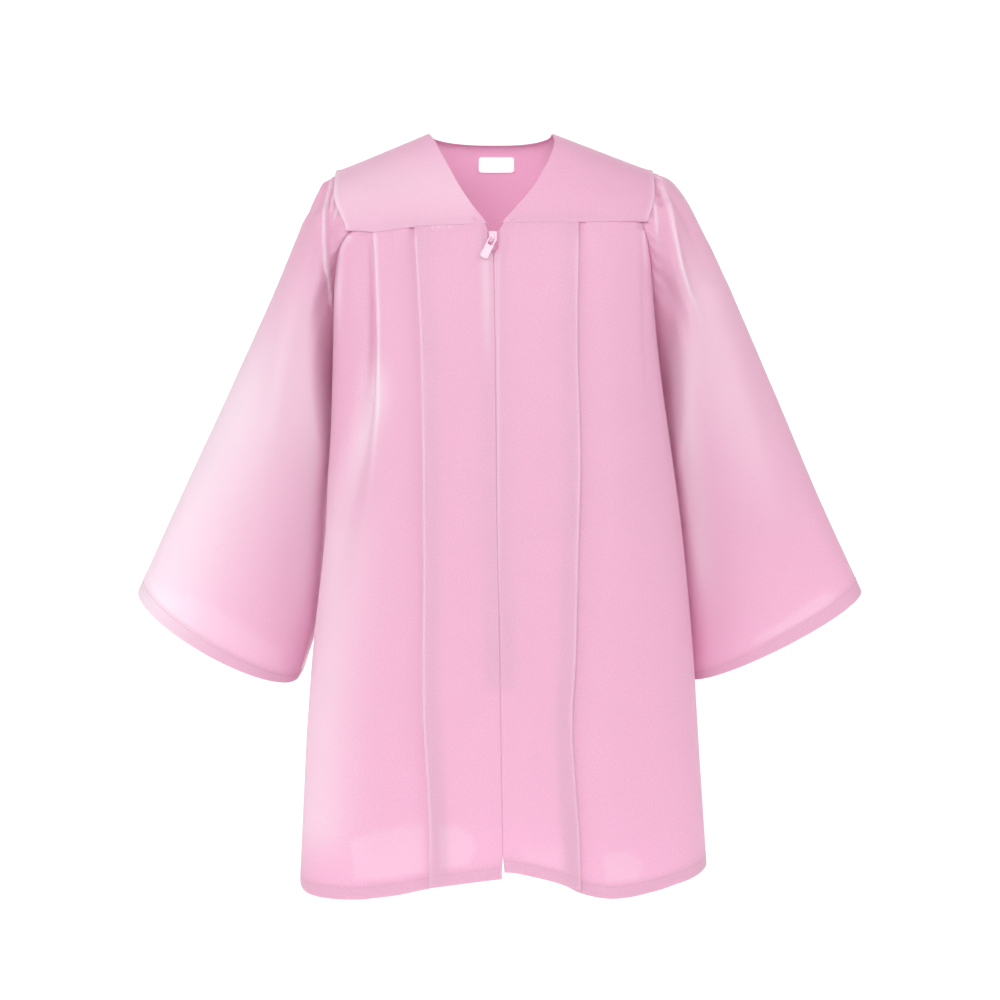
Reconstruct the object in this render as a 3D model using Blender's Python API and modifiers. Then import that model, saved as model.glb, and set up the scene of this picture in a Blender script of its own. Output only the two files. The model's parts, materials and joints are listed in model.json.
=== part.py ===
"""Child's graduation gown, filled out as if worn: two front yokes and a back yoke, two pleated
front panels, a fluted back, two bell sleeves, a front zip with its slider and pull, and a neck label.

Metres, +Z up. The gown faces -Y, and its wearer's left is +X. The origin lies midway in the neck
opening at the height of the neck points, where the shoulders of the wearer hold the gown.
"""

import math
from collections import namedtuple

import bmesh
import bpy
import numpy as np

CLOTH = 0.0012  # wall of every cloth piece
HEM_CLOTH = 0.0020  # where the hem's turning doubles the cloth
SEAM_GAP = 0.00035  # clear space between two pieces that are sewn together
LAP = CLOTH + SEAM_GAP  # one layer of cloth lying on another, middle to middle
TUCK = 0.005  # how far a panel reaches up under the yoke's edge
YOKE_OVERHANG = 0.0020  # how far the yoke's edge covers the sleeve's
YOKE_WELT = 0.0007  # how far that edge stands up, over the turnings inside it

SIDES = {"right": -1, "left": 1}  # the wearer's sides

# The body's level sections. right and left are the half widths, front, back and widest the depths of
# the centre front, the centre back and the side's outermost line, and centre is where the centre
# front line runs. The last two are how square each half is, 2 being an ellipse.
BODY_COLUMNS = "height right left front back widest centre front_square back_square".split()
BODY = (
    (-0.620, 0.1565, 0.1680, -0.1060, 0.098, -0.020, 0.0055, 2.3, 2.2),
    (-0.500, 0.1510, 0.1600, -0.1010, 0.093, -0.022, 0.0035, 2.3, 2.2),
    (-0.400, 0.1458, 0.1535, -0.0950, 0.087, -0.024, 0.0020, 2.3, 2.2),
    (-0.300, 0.1355, 0.1435, -0.0880, 0.080, -0.026, 0.0000, 2.3, 2.3),
    (-0.250, 0.1312, 0.1365, -0.0845, 0.076, -0.027, -0.0005, 2.3, 2.6),
    (-0.200, 0.1295, 0.1295, -0.0800, 0.072, -0.028, -0.0010, 2.3, 3.0),
    (-0.130, 0.1275, 0.1225, -0.0720, 0.064, -0.030, -0.0020, 2.4, 4.5),
    (-0.085, 0.1255, 0.1205, -0.0630, 0.0555, -0.030, -0.0030, 2.5, 6.0),
    (-0.055, 0.1230, 0.1190, -0.0510, 0.0445, -0.028, -0.0035, 2.5, 6.0),
)

# The armhole, seen from the side: how deep it lies at each turn from the top (0) over the front (90)
# and the armpit (180) to the back (270).
ARMHOLE_COLUMNS = "turn right left".split()
ARMHOLE = (
    (0, 0.003, 0.003), (20, -0.018, -0.017), (41, -0.036, -0.033), (58, -0.0455, -0.0415),
    (66, -0.0470, -0.0425), (75, -0.0425, -0.0395), (87, -0.0345, -0.0340), (103, -0.0220, -0.0225),
    (123, -0.009, -0.009), (146, 0.003, 0.003), (180, 0.013, 0.013), (214, 0.024, 0.024),
    (237, 0.035, 0.035), (258, 0.043, 0.043), (277, 0.0475, 0.0475), (293, 0.046, 0.046),
    (319, 0.037, 0.037), (340, 0.022, 0.022), (360, 0.003, 0.003),
)
SHOULDER_HEIGHT, ARMPIT_HEIGHT = -0.0315, -0.205
SHOULDER_HALF_WIDTH = {"right": 0.1245, "left": 0.1205}
SHOULDER_ROUND = 2.3  # power with which a yoke falls from the shoulder seam as it comes forward
SIDE_SEAM_DEPTH, SIDE_SEAM_GAP = 0.013, 0.0006

# The V-shaped neck edge, from the neck points down to the top of the zip.
NECK_COLUMNS = "height right left".split()
NECK = (
    (-0.090, 0.0050, 0.0010), (-0.078, 0.0092, 0.0050), (-0.065, 0.0190, 0.0160),
    (-0.050, 0.0292, 0.0282), (-0.035, 0.0372, 0.0372), (-0.020, 0.0450, 0.0440),
    (-0.010, 0.0500, 0.0462), (-0.0025, 0.0545, 0.0442),
)
NECK_POINT_HEIGHT = -0.0025
BACK_NECK_DEPTH, BACK_NECK_HEIGHT = 0.045, -0.005

# The yoke's lower edge in front, by its place across the gown.
YOKE_SEAM_COLUMNS = "across height".split()
YOKE_SEAM = (
    (-0.1200, -0.0822), (-0.1108, -0.0828), (-0.0965, -0.0842), (-0.0651, -0.0806),
    (-0.0115, -0.0784), (0.0040, -0.0778), (0.0960, -0.0756), (0.1200, -0.0746),
)
YOKE_SEAM_START, YOKE_SEAM_REACH = 0.006, 0.110  # from the zip to the armhole, across the gown
BACK_YOKE_HEIGHT = -0.105
YOKE_ROWS, YOKE_COLUMNS = 10, 10  # of a front yoke's grid
BACK_YOKE_ROWS, SHOULDER_COLUMNS, BACK_NECK_COLUMNS = 9, 7, 8
FRONT_SETTLE, BACK_SETTLE = 3, 5  # powers with which a yoke's side settles on the armhole
WELT_NARROW = 8  # power with which a yoke rises to its welt, towards the armhole
BACK_NECK_ROUND = 0.8  # power of the back neck's curve, 1 being an ellipse

# The hem's height round each side, by turn from the centre front (0) to the centre back (180).
HEM_COLUMNS = "turn right left".split()
HEM = (
    (0, -0.5797, -0.5752), (5, -0.5819, -0.5785), (11, -0.5846, -0.5828), (20, -0.5886, -0.5912),
    (30, -0.5930, -0.5956), (42, -0.5966, -0.5960), (56, -0.5997, -0.5925), (70, -0.5983, -0.5880),
    (90, -0.5900, -0.5800), (135, -0.5770, -0.5830), (180, -0.5660, -0.5660),
)
HEM_LEVEL = -0.590  # the hem's typical height

# The knife pleat in each front panel: where its edge runs at each height.
PLEAT_COLUMNS = "height right left".split()
PLEAT = (
    (-0.610, 0.0515, 0.0640), (-0.550, 0.0510, 0.0630), (-0.510, 0.0530, 0.0600),
    (-0.460, 0.0562, 0.0575), (-0.420, 0.0565, 0.0600), (-0.350, 0.0562, 0.0620),
    (-0.260, 0.0570, 0.0642), (-0.170, 0.0590, 0.0622), (-0.085, 0.0640, 0.0635),
)
PLEAT_UNDERLAP = 0.013
PLEAT_RADIUS = 0.00098  # of the fold, to the middle of the cloth
PLEAT_EASE = 0.036  # width over which the cloth beside the pleat comes up to the body's form
SIDE_EASE = math.radians(14)  # turn over which a soft pleat fades before the side seam

# Each soft pleat hangs from the yoke seam as a step down, away from the centre, and fades.
SOFT_COLUMNS = "height across step width".split()
SOFT_PLEAT = {
    "right": (
        (-0.480, 0.1180, 0.0000, 0.030), (-0.400, 0.1120, 0.0035, 0.026),
        (-0.310, 0.1010, 0.0065, 0.017), (-0.220, 0.0930, 0.0070, 0.009),
        (-0.150, 0.0925, 0.0060, 0.006), (-0.080, 0.0960, 0.0040, 0.005),
    ),
    "left": (
        (-0.420, 0.1180, 0.0000, 0.020), (-0.300, 0.1150, 0.0012, 0.014),
        (-0.180, 0.1120, 0.0022, 0.008), (-0.080, 0.1100, 0.0022, 0.005),
    ),
}
SOFT_RECOVER = 2.4  # widths over which the cloth comes back up beyond a soft pleat
SOFT_RIDGE = 0.2  # how far a soft pleat's edge stands up, as a share of its step
SOFT_EDGE = 0.4  # widths from the step to the top of that edge
SOFT_START = 0.015  # how far below the yoke that edge is full

# How a front panel's grid is spread: its rows from the yoke to the hem, its columns on the pleat's
# top layer and beyond the pleat, and the steps of each of the pleat's folds.
PANEL_ROWS = np.array(
    (0, 0.013, 0.027, 0.042, 0.062, 0.09, 0.13, 0.18, 0.24, 0.31, 0.38, 0.46, 0.54, 0.62, 0.70, 0.78)
    + (0.86, 0.93, 0.984, 1)
)
TOP_SHARES = np.array((0, 0.05, 0.12, 0.3, 0.53, 0.77, 1))
UNDER_SHARES = np.linspace(0, 1, 18)
SOFT_KNOTS = (0, 0.38, 0.60, 1)  # shares of them before, at both sides of, and past the soft pleat
FOLD_STEPS = 4
YOKE_LEVEL = -0.080  # the typical height of the yoke's lower edge

# Flutes of the back panel, by height.
FLUTE_COLUMNS = "height depth".split()
FLUTES = ((-0.620, 0.0085), (-0.450, 0.0062), (-0.250, 0.0036), (-0.098, 0.0011))
FLUTE_COUNT = 8
FLUTE_SWAY, FLUTE_SWAY_RATE = 0.5, 5  # how far flutes lean, and how fast with height
FLUTE_FADE = 0.25  # share of each half over which they fade, at the side seam
BACK_TUCK = 0.994  # how far in the panel's top edge is drawn, under the yoke
BACK_HALF_COLUMNS = 20
BACK_ROWS = np.array(
    (0, 0.014, 0.05, 0.1, 0.16, 0.22, 0.3, 0.38, 0.47, 0.56, 0.65, 0.74, 0.83, 0.91, 0.983, 1)
)

# How far each front panel starts from the centre front line, by height.
OPENING_COLUMNS = "height right left".split()
OPENING = (
    (-0.6200, 0.0003, 0.0003), (-0.5900, 0.0003, 0.0003), (-0.5765, 0.0013, 0.0013),
    (-0.5620, 0.0003, 0.0003), (-0.1030, 0.0003, 0.0003), (-0.0980, 0.0041, 0.0041),
    (-0.0845, 0.0041, 0.0046), (-0.0785, 0.0062, 0.0082), (-0.0735, 0.0112, 0.0137),
    (-0.0700, 0.0140, 0.0170),
)

# The sleeves. share runs from the armhole (0) to the hem (1), outer and inner are the sleeve's two
# edges as seen from the front, middle and half its depth, and drop and rise how far its front
# hangs under, and its back lies over, the line between the edges.
SLEEVE_COLUMNS = "share outer outer_height inner inner_height middle half drop rise".split()
SLEEVE = {
    "right": (
        (0.00, 0.1245, -0.0315, 0.1300, -0.2050, 0.003, 0.046, 0.000, 0.000),
        (0.08, 0.1400, -0.0455, 0.1315, -0.2220, 0.005, 0.049, 0.001, 0.000),
        (0.22, 0.1590, -0.0870, 0.1335, -0.2560, 0.010, 0.050, 0.003, 0.001),
        (0.40, 0.1875, -0.1490, 0.1370, -0.2980, 0.016, 0.050, 0.006, 0.002),
        (0.60, 0.2190, -0.2170, 0.1405, -0.3450, 0.022, 0.051, 0.011, 0.003),
        (0.82, 0.2550, -0.2930, 0.1460, -0.3950, 0.027, 0.052, 0.016, 0.005),
        (1.00, 0.2875, -0.3640, 0.1575, -0.4325, 0.029, 0.055, 0.0200, 0.006),
    ),
    "left": (
        (0.00, 0.1205, -0.0315, 0.1300, -0.2050, 0.003, 0.046, 0.000, 0.000),
        (0.08, 0.1400, -0.0410, 0.1335, -0.2220, 0.005, 0.049, 0.001, 0.000),
        (0.22, 0.1660, -0.0845, 0.1385, -0.2560, 0.010, 0.050, 0.002, 0.000),
        (0.40, 0.1940, -0.1430, 0.1440, -0.3000, 0.016, 0.050, 0.005, 0.000),
        (0.60, 0.2240, -0.2110, 0.1480, -0.3470, 0.022, 0.051, 0.008, 0.001),
        (0.82, 0.2590, -0.2930, 0.1510, -0.3980, 0.027, 0.052, 0.010, 0.001),
        (1.00, 0.2920, -0.3645, 0.1520, -0.4340, 0.029, 0.055, 0.0115, 0.001),
    ),
}
SLEEVE_ROWS = np.array(
    (0, 0.025, 0.055, 0.09, 0.13, 0.18, 0.24, 0.31, 0.40, 0.50, 0.60, 0.70, 0.80, 0.90, 0.978, 1)
)
SLEEVE_TURNS = np.concatenate([np.arange(0, 120, 6), np.arange(120, 300, 12), np.arange(300, 361, 10)])
SLEEVE_CLEAR = CLOTH / 2 + 3 * SEAM_GAP  # from the armhole's line to the sleeve's start
SLEEVE_SQUARE = 0.45  # power that flattens its front and back, 1 giving an ellipse
DEPTH_BLEND, ACROSS_BLEND = 0.28, 0.09  # shares over which it leaves the armhole's line
FOLD_START = 0.07  # share over which its gathers and folds grow from the seam

# The sleeve head's gathers, which fade along the sleeve, and round it on both sides of the top.
GATHER_COUNT = 14
GATHER_DEPTH = 0.0024
GATHER_END = 0.26
GATHER_SPREAD, GATHER_FADE = 85, 35  # degrees

# The long folds that fall from the sleeve's head: whether each lies on the sleeve's front (-1) or
# back (1), its height over the cloth, its half width, and its course as seen from the front, each
# place across and up.
FOLD_VALLEY = 0.35  # how deep the cloth lies to both sides of a fold, as a share of its crest
Fold = namedtuple("Fold", "half depth width course")
SLEEVE_FOLDS = {
    "right": (
        Fold(-1, 0.0075, 0.0070, ((0.131, -0.046), (0.137, -0.062), (0.1375, -0.085), (0.136, -0.106),
                                  (0.133, -0.130), (0.128, -0.152))),
        Fold(-1, 0.0040, 0.0110, ((0.150, -0.078), (0.163, -0.140), (0.176, -0.220), (0.190, -0.330))),
        Fold(1, 0.0060, 0.0090, ((0.131, -0.060), (0.142, -0.110), (0.157, -0.190), (0.172, -0.280))),
        Fold(1, 0.0045, 0.0110, ((0.146, -0.070), (0.172, -0.150), (0.205, -0.240), (0.230, -0.310))),
    ),
    "left": (
        Fold(-1, 0.0075, 0.0070, ((0.124, -0.042), (0.131, -0.056), (0.1345, -0.070), (0.138, -0.090),
                                  (0.143, -0.112), (0.149, -0.135), (0.158, -0.170))),
        Fold(-1, 0.0035, 0.0120, ((0.172, -0.130), (0.192, -0.200), (0.214, -0.280), (0.232, -0.345))),
        Fold(1, 0.0060, 0.0090, ((0.128, -0.060), (0.140, -0.110), (0.155, -0.190), (0.168, -0.290))),
        Fold(1, 0.0045, 0.0110, ((0.146, -0.065), (0.176, -0.150), (0.212, -0.250), (0.236, -0.320))),
    ),
}

# The zip.
ZIP_TOP, ZIP_END = -0.0865, -0.438
TAPE_WIDTH, TAPE_CLOTH = 0.012, 0.0008
# How far each tape starts from the centre line, by height: wider beside the slider.
TAPE_COLUMNS = "height start".split()
ZIP_ROWS = np.concatenate([(ZIP_TOP + 0.002, -0.097, -0.106), np.linspace(-0.128, ZIP_END, 12)])
TAPE = ((-0.440, 0.0023), (-0.106, 0.0023), (-0.097, 0.0037), (-0.080, 0.0037))
COIL_WIDTH, COIL_DEPTH = 0.0038, 0.0016
SLIDER_WIDTH, SLIDER_LENGTH, SLIDER_DEPTH = 0.0062, 0.0086, 0.0030
SLIDER_HEIGHT = -0.0893  # of its middle
SLIDER_SINK = 0.0004  # how far behind the panels' form its middle lies
SLIDER_ROUND = 0.0009
BRIDGE_WIDTH, BRIDGE_LENGTH, BRIDGE_RISE, BRIDGE_STOCK = 0.0014, 0.0062, 0.0028, 0.0007
BRIDGE_SINK = 0.0003  # how far its ends run into the slider's body
BRIDGE_POINTS = 13
PULL_LENGTH, PULL_WIDTH, PULL_DEPTH, PULL_BORDER = 0.0190, 0.0070, 0.0009, 0.0010
PULL_EYE_LENGTH = 0.0062  # the opening that goes round the slider's bridge
PULL_TOP_SHARE, EYE_FOOT_SHARE = 0.84, 0.9  # the tab's width at its top, and at the eye's foot
PULL_CORNER, EYE_CORNER = 0.0022, 0.0008
PULL_PLAY = 0.00055  # between the bar and the bridge
PULL_DROP = 0.0009  # from the slider's middle to the bar that hangs in its bridge
PULL_LEAN = math.radians(25)  # sideways, to the wearer's right
PULL_TILT = math.radians(15)  # forward, along the panels under it

LABEL_WIDTH, LABEL_HEIGHT, LABEL_TOP, LABEL_CLOTH = 0.029, 0.0122, -0.0125, 0.0006
LABEL_ASIDE = -0.0005  # its middle, from the gown's middle plane


def smooth(share):
    """0 to 1 with level ends, as share goes from 0 to 1."""
    share = np.clip(share, 0, 1)
    return share * share * (3 - 2 * share)


def curve(rows, columns, wanted, at):
    """One column of a table on a smooth curve through its rows, at places of its first column."""
    table = np.array(sorted(rows), float)
    x, y = table[:, 0], table[:, columns.index(wanted)]
    slope = np.gradient(y, x)
    at = np.clip(np.asarray(at, float), x[0], x[-1])
    i = np.clip(np.searchsorted(x, at) - 1, 0, len(x) - 2)
    width = x[i + 1] - x[i]
    t = (at - x[i]) / width
    return (
        (1 + 2 * t) * (1 - t) ** 2 * y[i]
        + t * (1 - t) ** 2 * width * slope[i]
        + t * t * (3 - 2 * t) * y[i + 1]
        - t * t * (1 - t) * width * slope[i + 1]
    )


def straight(rows, columns, wanted, at):
    """One column of a table, on straight lines between its rows."""
    table = np.array(sorted(rows), float)
    return np.interp(at, table[:, 0], table[:, columns.index(wanted)])


def body(wanted, height):
    return curve(BODY, BODY_COLUMNS, wanted, height)


def half_and_square(height, front):
    """(how deep the section's front or back half is, how square it is) at a height."""
    reach = np.where(
        front,
        body("widest", height) - body("front", height),
        body("back", height) - body("widest", height),
    )
    return reach, np.where(front, body("front_square", height), body("back_square", height))


def turn_at_depth(height, depth):
    """The turn at which the body's section is that deep: 0 at the centre front, pi at the back."""
    front = depth < body("widest", height)
    reach, square = half_and_square(height, front)
    share = np.clip(np.abs(depth - body("widest", height)) / reach, 0, 1)
    turn = np.arccos(share ** (square / 2))
    return np.where(front, turn, math.pi - turn)


def turn_across(side, height, across):
    """The turn, in front, at which the section lies that far from the gown's middle plane."""
    middle = body("centre", height) * SIDES[side]
    share = np.clip((across - middle) / (body(side, height) - middle), 0, 1)
    return np.arcsin(share ** (body("front_square", height) / 2))


def on_body(side, height, turn, out=0.0):
    """A point of the body's form, moved out level by some distance."""
    height, turn = np.broadcast_arrays(np.asarray(height, float), np.asarray(turn, float))
    sign = SIDES[side]
    reach, square = half_and_square(height, turn <= math.pi / 2)
    middle = body("centre", height) * sign
    wide = body(side, height) - middle
    across = np.abs(np.sin(turn)) ** (2 / square)
    deep = np.sign(np.cos(turn)) * np.abs(np.cos(turn)) ** (2 / square)
    x = sign * (middle + wide * across)
    y = body("widest", height) - reach * deep
    away = np.stack(
        [
            sign * across ** (square - 1) / wide,
            -np.sign(deep) * np.abs(deep) ** (square - 1) / reach,
            np.zeros_like(x),
        ],
        axis=-1,
    )
    away /= np.maximum(np.linalg.norm(away, axis=-1, keepdims=True), 1e-9)
    return np.stack([x, y, height], axis=-1) + away * np.asarray(out, float)[..., None]


def armhole(side, degrees):
    """The armhole's line at each turn, in degrees from the shoulder over the front."""
    degrees = np.asarray(degrees, float)
    middle = (SHOULDER_HEIGHT + ARMPIT_HEIGHT) / 2
    height = middle + (SHOULDER_HEIGHT - middle) * np.cos(np.radians(degrees))
    depth = curve(ARMHOLE, ARMHOLE_COLUMNS, side, degrees)
    seam = np.where(degrees < 180, yoke_corner(side)[1], BACK_YOKE_HEIGHT)
    low = np.minimum(height, seam)
    turn = turn_at_depth(low, depth)
    across = SIDES[side] * on_body(side, low, turn)[..., 0]
    above = smooth((height - seam) / (SHOULDER_HEIGHT - seam))
    across += above * (SHOULDER_HALF_WIDTH[side] - across)
    return np.stack([SIDES[side] * across, depth, height], axis=-1)


def yoke_corner(side):
    """(turn in degrees, height) at which the front yoke's lower edge meets the armhole."""
    height = YOKE_SEAM[0][1] if side == "right" else YOKE_SEAM[-1][1]
    return armhole_turn(height, front=True), height


def armhole_turn(height, front):
    """The armhole's turn, in degrees, at a height."""
    middle = (SHOULDER_HEIGHT + ARMPIT_HEIGHT) / 2
    turn = np.degrees(np.arccos(np.clip((height - middle) / (SHOULDER_HEIGHT - middle), -1, 1)))
    return turn if front else 360 - turn


def edge_turn(side, height, front):
    """The turn at which a front or back panel ends: on the armhole, and below it on the side seam."""
    height = np.asarray(height, float)
    hole = curve(ARMHOLE, ARMHOLE_COLUMNS, side, armhole_turn(height, front))
    return turn_at_depth(height, np.where(height > ARMPIT_HEIGHT, hole, SIDE_SEAM_DEPTH))


def normals(points):
    """The unit normal at each point of a grid, from its neighbours."""
    rows, columns = np.gradient(points, axis=0), np.gradient(points, axis=1)
    across = np.cross(rows, columns)
    return across / np.maximum(np.linalg.norm(across, axis=-1, keepdims=True), 1e-12)


def moved_out(points, distance, middle=(0, 0, -0.1)):
    """A grid moved along its normals, away from a point inside the gown."""
    normal = normals(points)
    side = np.sign(((points - np.array(middle)) * normal).sum(-1, keepdims=True))
    return points + side * normal * distance


# ---- Pieces ----


def panel_turns(side, level):
    """Each column's turn on a front panel at some level, from the zip to the side."""
    pleat = curve(PLEAT, PLEAT_COLUMNS, side, level)
    top = turn_across(side, level, pleat * TOP_SHARES)
    fold = np.full(2 * FOLD_STEPS, top[-1])
    first = turn_across(side, level, pleat - PLEAT_UNDERLAP)
    return np.concatenate([top, fold, first + (edge_turn(side, level, front=True) - first) * UNDER_SHARES])


def front_panel(side):
    """Grid of a front panel, from under the yoke to the hem and from the zip to the side seam."""
    seam_across = on_body(side, YOKE_LEVEL, panel_turns(side, YOKE_LEVEL))[:, 0]
    seam = curve(YOKE_SEAM, YOKE_SEAM_COLUMNS, "height", seam_across)
    hem = curve(HEM, HEM_COLUMNS, side, np.degrees(panel_turns(side, HEM_LEVEL)))
    height = seam + TUCK + (hem - seam - TUCK) * PANEL_ROWS[:, None]
    edge = curve(PLEAT, PLEAT_COLUMNS, side, height)
    start = body("centre", height) * SIDES[side] + straight(OPENING, OPENING_COLUMNS, side, height)
    radius, bend = PLEAT_RADIUS, np.radians(np.linspace(0, 180, FOLD_STEPS + 1))
    under = len(TOP_SHARES) + FOLD_STEPS
    top, rest = slice(0, len(TOP_SHARES)), slice(under + FOLD_STEPS, None)
    turn_in, turn_out = slice(len(TOP_SHARES), under), slice(under, under + FOLD_STEPS)
    across, out = np.zeros_like(height), np.zeros_like(height)
    across[:, top] = start[:, top] + (edge[:, top] - radius - start[:, top]) * TOP_SHARES
    across[:, turn_in] = edge[:, turn_in] - radius + radius * np.sin(bend[1:])
    out[:, turn_in] = -radius + radius * np.cos(bend[1:])
    across[:, turn_out] = edge[:, turn_out] - PLEAT_UNDERLAP + radius - radius * np.sin(bend[:-1])
    out[:, turn_out] = -3 * radius + radius * np.cos(bend[:-1])
    turns = turn_across(side, height, across)
    first = turn_across(side, height[:, rest], edge[:, rest] - PLEAT_UNDERLAP + radius)
    last = edge_turn(side, height[:, -1:], front=True)
    turns[:, rest] = past_soft_pleat(side, height[:, rest], first, last)
    place = np.abs(on_body(side, height[:, rest], turns[:, rest])[..., 0])
    out[:, rest] = -4 * radius * (1 - smooth((place - edge[:, rest]) / PLEAT_EASE))
    before_side = smooth((last - turns[:, rest]) / SIDE_EASE)
    out[:, rest] += soft_pleat(side, height[:, rest], place) * before_side
    points = on_body(side, height, turns, out)
    points[:, -1, 1] -= SIDE_SEAM_GAP / 2
    return points


def past_soft_pleat(side, height, first, last):
    """Turns from first to last, with columns held to both sides of the soft pleat's step."""
    at, width = (curve(SOFT_PLEAT[side], SOFT_COLUMNS, c, height) for c in ("across", "width"))
    ends = [first, turn_across(side, height, at - width / 2), turn_across(side, height, at + width)]
    turns = np.stack([*ends, np.broadcast_to(last, height.shape)])
    rows = range(height.shape[0])
    by_column = [
        [np.interp(share, SOFT_KNOTS, turns[:, row, column]) for column, share in enumerate(UNDER_SHARES)]
        for row in rows
    ]
    return np.array(by_column)


def soft_pleat(side, height, across):
    """How far in a front panel's soft pleat takes the cloth."""
    step, width, at = (
        curve(SOFT_PLEAT[side], SOFT_COLUMNS, wanted, height) for wanted in ("step", "width", "across")
    )
    beyond = (across - at) / width
    below_yoke = smooth((YOKE_LEVEL - height) / SOFT_START)
    ridge = SOFT_RIDGE * step * np.exp(-((beyond + SOFT_EDGE) ** 2)) * below_yoke
    return ridge - step * smooth(beyond) * (1 - smooth((beyond - 1) / SOFT_RECOVER))


def back_panel():
    """Grid of the back panel, from the right side seam to the left, under the back yoke to the hem."""
    share = np.linspace(0, 1, BACK_HALF_COLUMNS + 1)  # from the side (0) to the centre back (1)
    halves = []
    for side in SIDES:
        foot = edge_turn(side, HEM_LEVEL, front=False)
        hem = curve(HEM, HEM_COLUMNS, side, np.degrees(foot + (math.pi - foot) * share))
        height = BACK_YOKE_HEIGHT + TUCK + (hem - BACK_YOKE_HEIGHT - TUCK) * BACK_ROWS[:, None]
        first = edge_turn(side, height[:, :1], front=False)
        turns = first + (math.pi - first) * share
        depth = curve(FLUTES, FLUTE_COLUMNS, "depth", height)
        sway = FLUTE_SWAY * np.sin(FLUTE_SWAY_RATE * height + SIDES[side])
        phase = (share - 1) * FLUTE_COUNT * math.pi + sway
        points = on_body(side, height, turns, depth * (np.cos(phase) - 1) * smooth(share / FLUTE_FADE))
        points[:, 0, 1] += SIDE_SEAM_GAP / 2
        points[0] *= [1, BACK_TUCK, 1]
        halves.append(points)
    return np.concatenate([halves[0], halves[1][:, -2::-1]], axis=1)


def front_yoke(side):
    """Grid of a front yoke, from the shoulder seam to its lower edge and from the neck to the armhole."""
    sign = SIDES[side]
    corner_height = yoke_corner(side)[1]
    reach = np.linspace(0, 1, YOKE_ROWS)[:, None]
    fall = reach**SHOULDER_ROUND
    across = np.linspace(0, 1, YOKE_COLUMNS)
    low_across = sign * (YOKE_SEAM_START + YOKE_SEAM_REACH * across)
    low = curve(YOKE_SEAM, YOKE_SEAM_COLUMNS, "height", low_across)
    edge_height = SHOULDER_HEIGHT + (corner_height - SHOULDER_HEIGHT) * fall[:, 0]
    edge = armhole(side, armhole_turn(edge_height, front=True))
    ridge_height = NECK_POINT_HEIGHT + (SHOULDER_HEIGHT - NECK_POINT_HEIGHT) * across
    height = ridge_height + (low - ridge_height) * fall
    neck = curve(NECK, NECK_COLUMNS, side, NECK_POINT_HEIGHT + (low[0] - NECK_POINT_HEIGHT) * fall)
    x = neck + (np.abs(edge[:, :1]) - neck) * across
    foot = on_body(side, low, turn_across(side, low, x[-1]))[:, 1]
    ridge = edge[0, 1] * across
    y = ridge + (foot - ridge) * reach
    points = np.stack([sign * x, y, height], axis=-1)
    points += (edge - points[:, -1])[:, None] * across[:, None] ** FRONT_SETTLE
    points = moved_out(points, LAP + YOKE_WELT * across[:, None] ** WELT_NARROW)
    points[:, -1, 0] += sign * YOKE_OVERHANG
    points[0, :, 1] -= SEAM_GAP / 2
    return points


def back_yoke():
    """Grid of the back yoke, from the shoulder seams and the back neck to its lower edge."""
    reach = np.linspace(0, 1, BACK_YOKE_ROWS)[:, None]
    fall = reach**SHOULDER_ROUND
    shoulder, neck = SHOULDER_COLUMNS, BACK_NECK_COLUMNS
    halves = []
    for side, sign in SIDES.items():
        edge_height = SHOULDER_HEIGHT + (BACK_YOKE_HEIGHT - SHOULDER_HEIGHT) * fall[:, 0]
        edge = armhole(side, armhole_turn(edge_height, front=False))
        neck_point = curve(NECK, NECK_COLUMNS, side, NECK_POINT_HEIGHT)
        shoulder_tip = SHOULDER_HALF_WIDTH[side]
        seam_share = np.linspace(0, 1, shoulder + 1)  # from the armhole to the neck point
        round_neck = np.linspace(0, math.pi / 2, neck + 1)[1:]
        top = np.concatenate(
            [
                np.stack(
                    [
                        shoulder_tip + (neck_point - shoulder_tip) * seam_share,
                        edge[0, 1] * (1 - seam_share),
                        SHOULDER_HEIGHT + (NECK_POINT_HEIGHT - SHOULDER_HEIGHT) * seam_share,
                    ],
                    axis=-1,
                ),
                np.stack(
                    [
                        neck_point * np.cos(round_neck) ** BACK_NECK_ROUND,
                        BACK_NECK_DEPTH * np.sin(round_neck),
                        NECK_POINT_HEIGHT + (BACK_NECK_HEIGHT - NECK_POINT_HEIGHT) * np.sin(round_neck),
                    ],
                    axis=-1,
                ),
            ]
        )
        share = np.linspace(1, 0, len(top))
        low = np.full_like(share, BACK_YOKE_HEIGHT)
        corner_across = abs(edge[-1, 0])
        half_depth, square = half_and_square(low, False)
        x_low = corner_across * share
        deep = (1 - np.clip(x_low / body(side, low), 0, 1) ** square) ** (1 / square)
        y_low = body("widest", low) + half_depth * deep
        x = top[:, 0] + (x_low - top[:, 0]) * smooth(reach)
        y = top[:, 1] + (y_low - top[:, 1]) * reach
        z = top[:, 2] + (low - top[:, 2]) * fall
        points = np.stack([sign * x, y, z], axis=-1)
        points += (edge - points[:, 0])[:, None] * share[:, None] ** BACK_SETTLE
        halves.append(points)
    points = np.concatenate([halves[0], halves[1][:, -2::-1]], axis=1)
    from_side = np.abs(np.linspace(-1, 1, points.shape[1]))[:, None]
    points = moved_out(points, LAP + YOKE_WELT * from_side**WELT_NARROW)
    points[:, 0, 0] -= YOKE_OVERHANG
    points[:, -1, 0] += YOKE_OVERHANG
    points[0, : shoulder + 1, 1] += SEAM_GAP / 2
    points[0, -shoulder - 1 :, 1] += SEAM_GAP / 2
    return points


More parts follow.
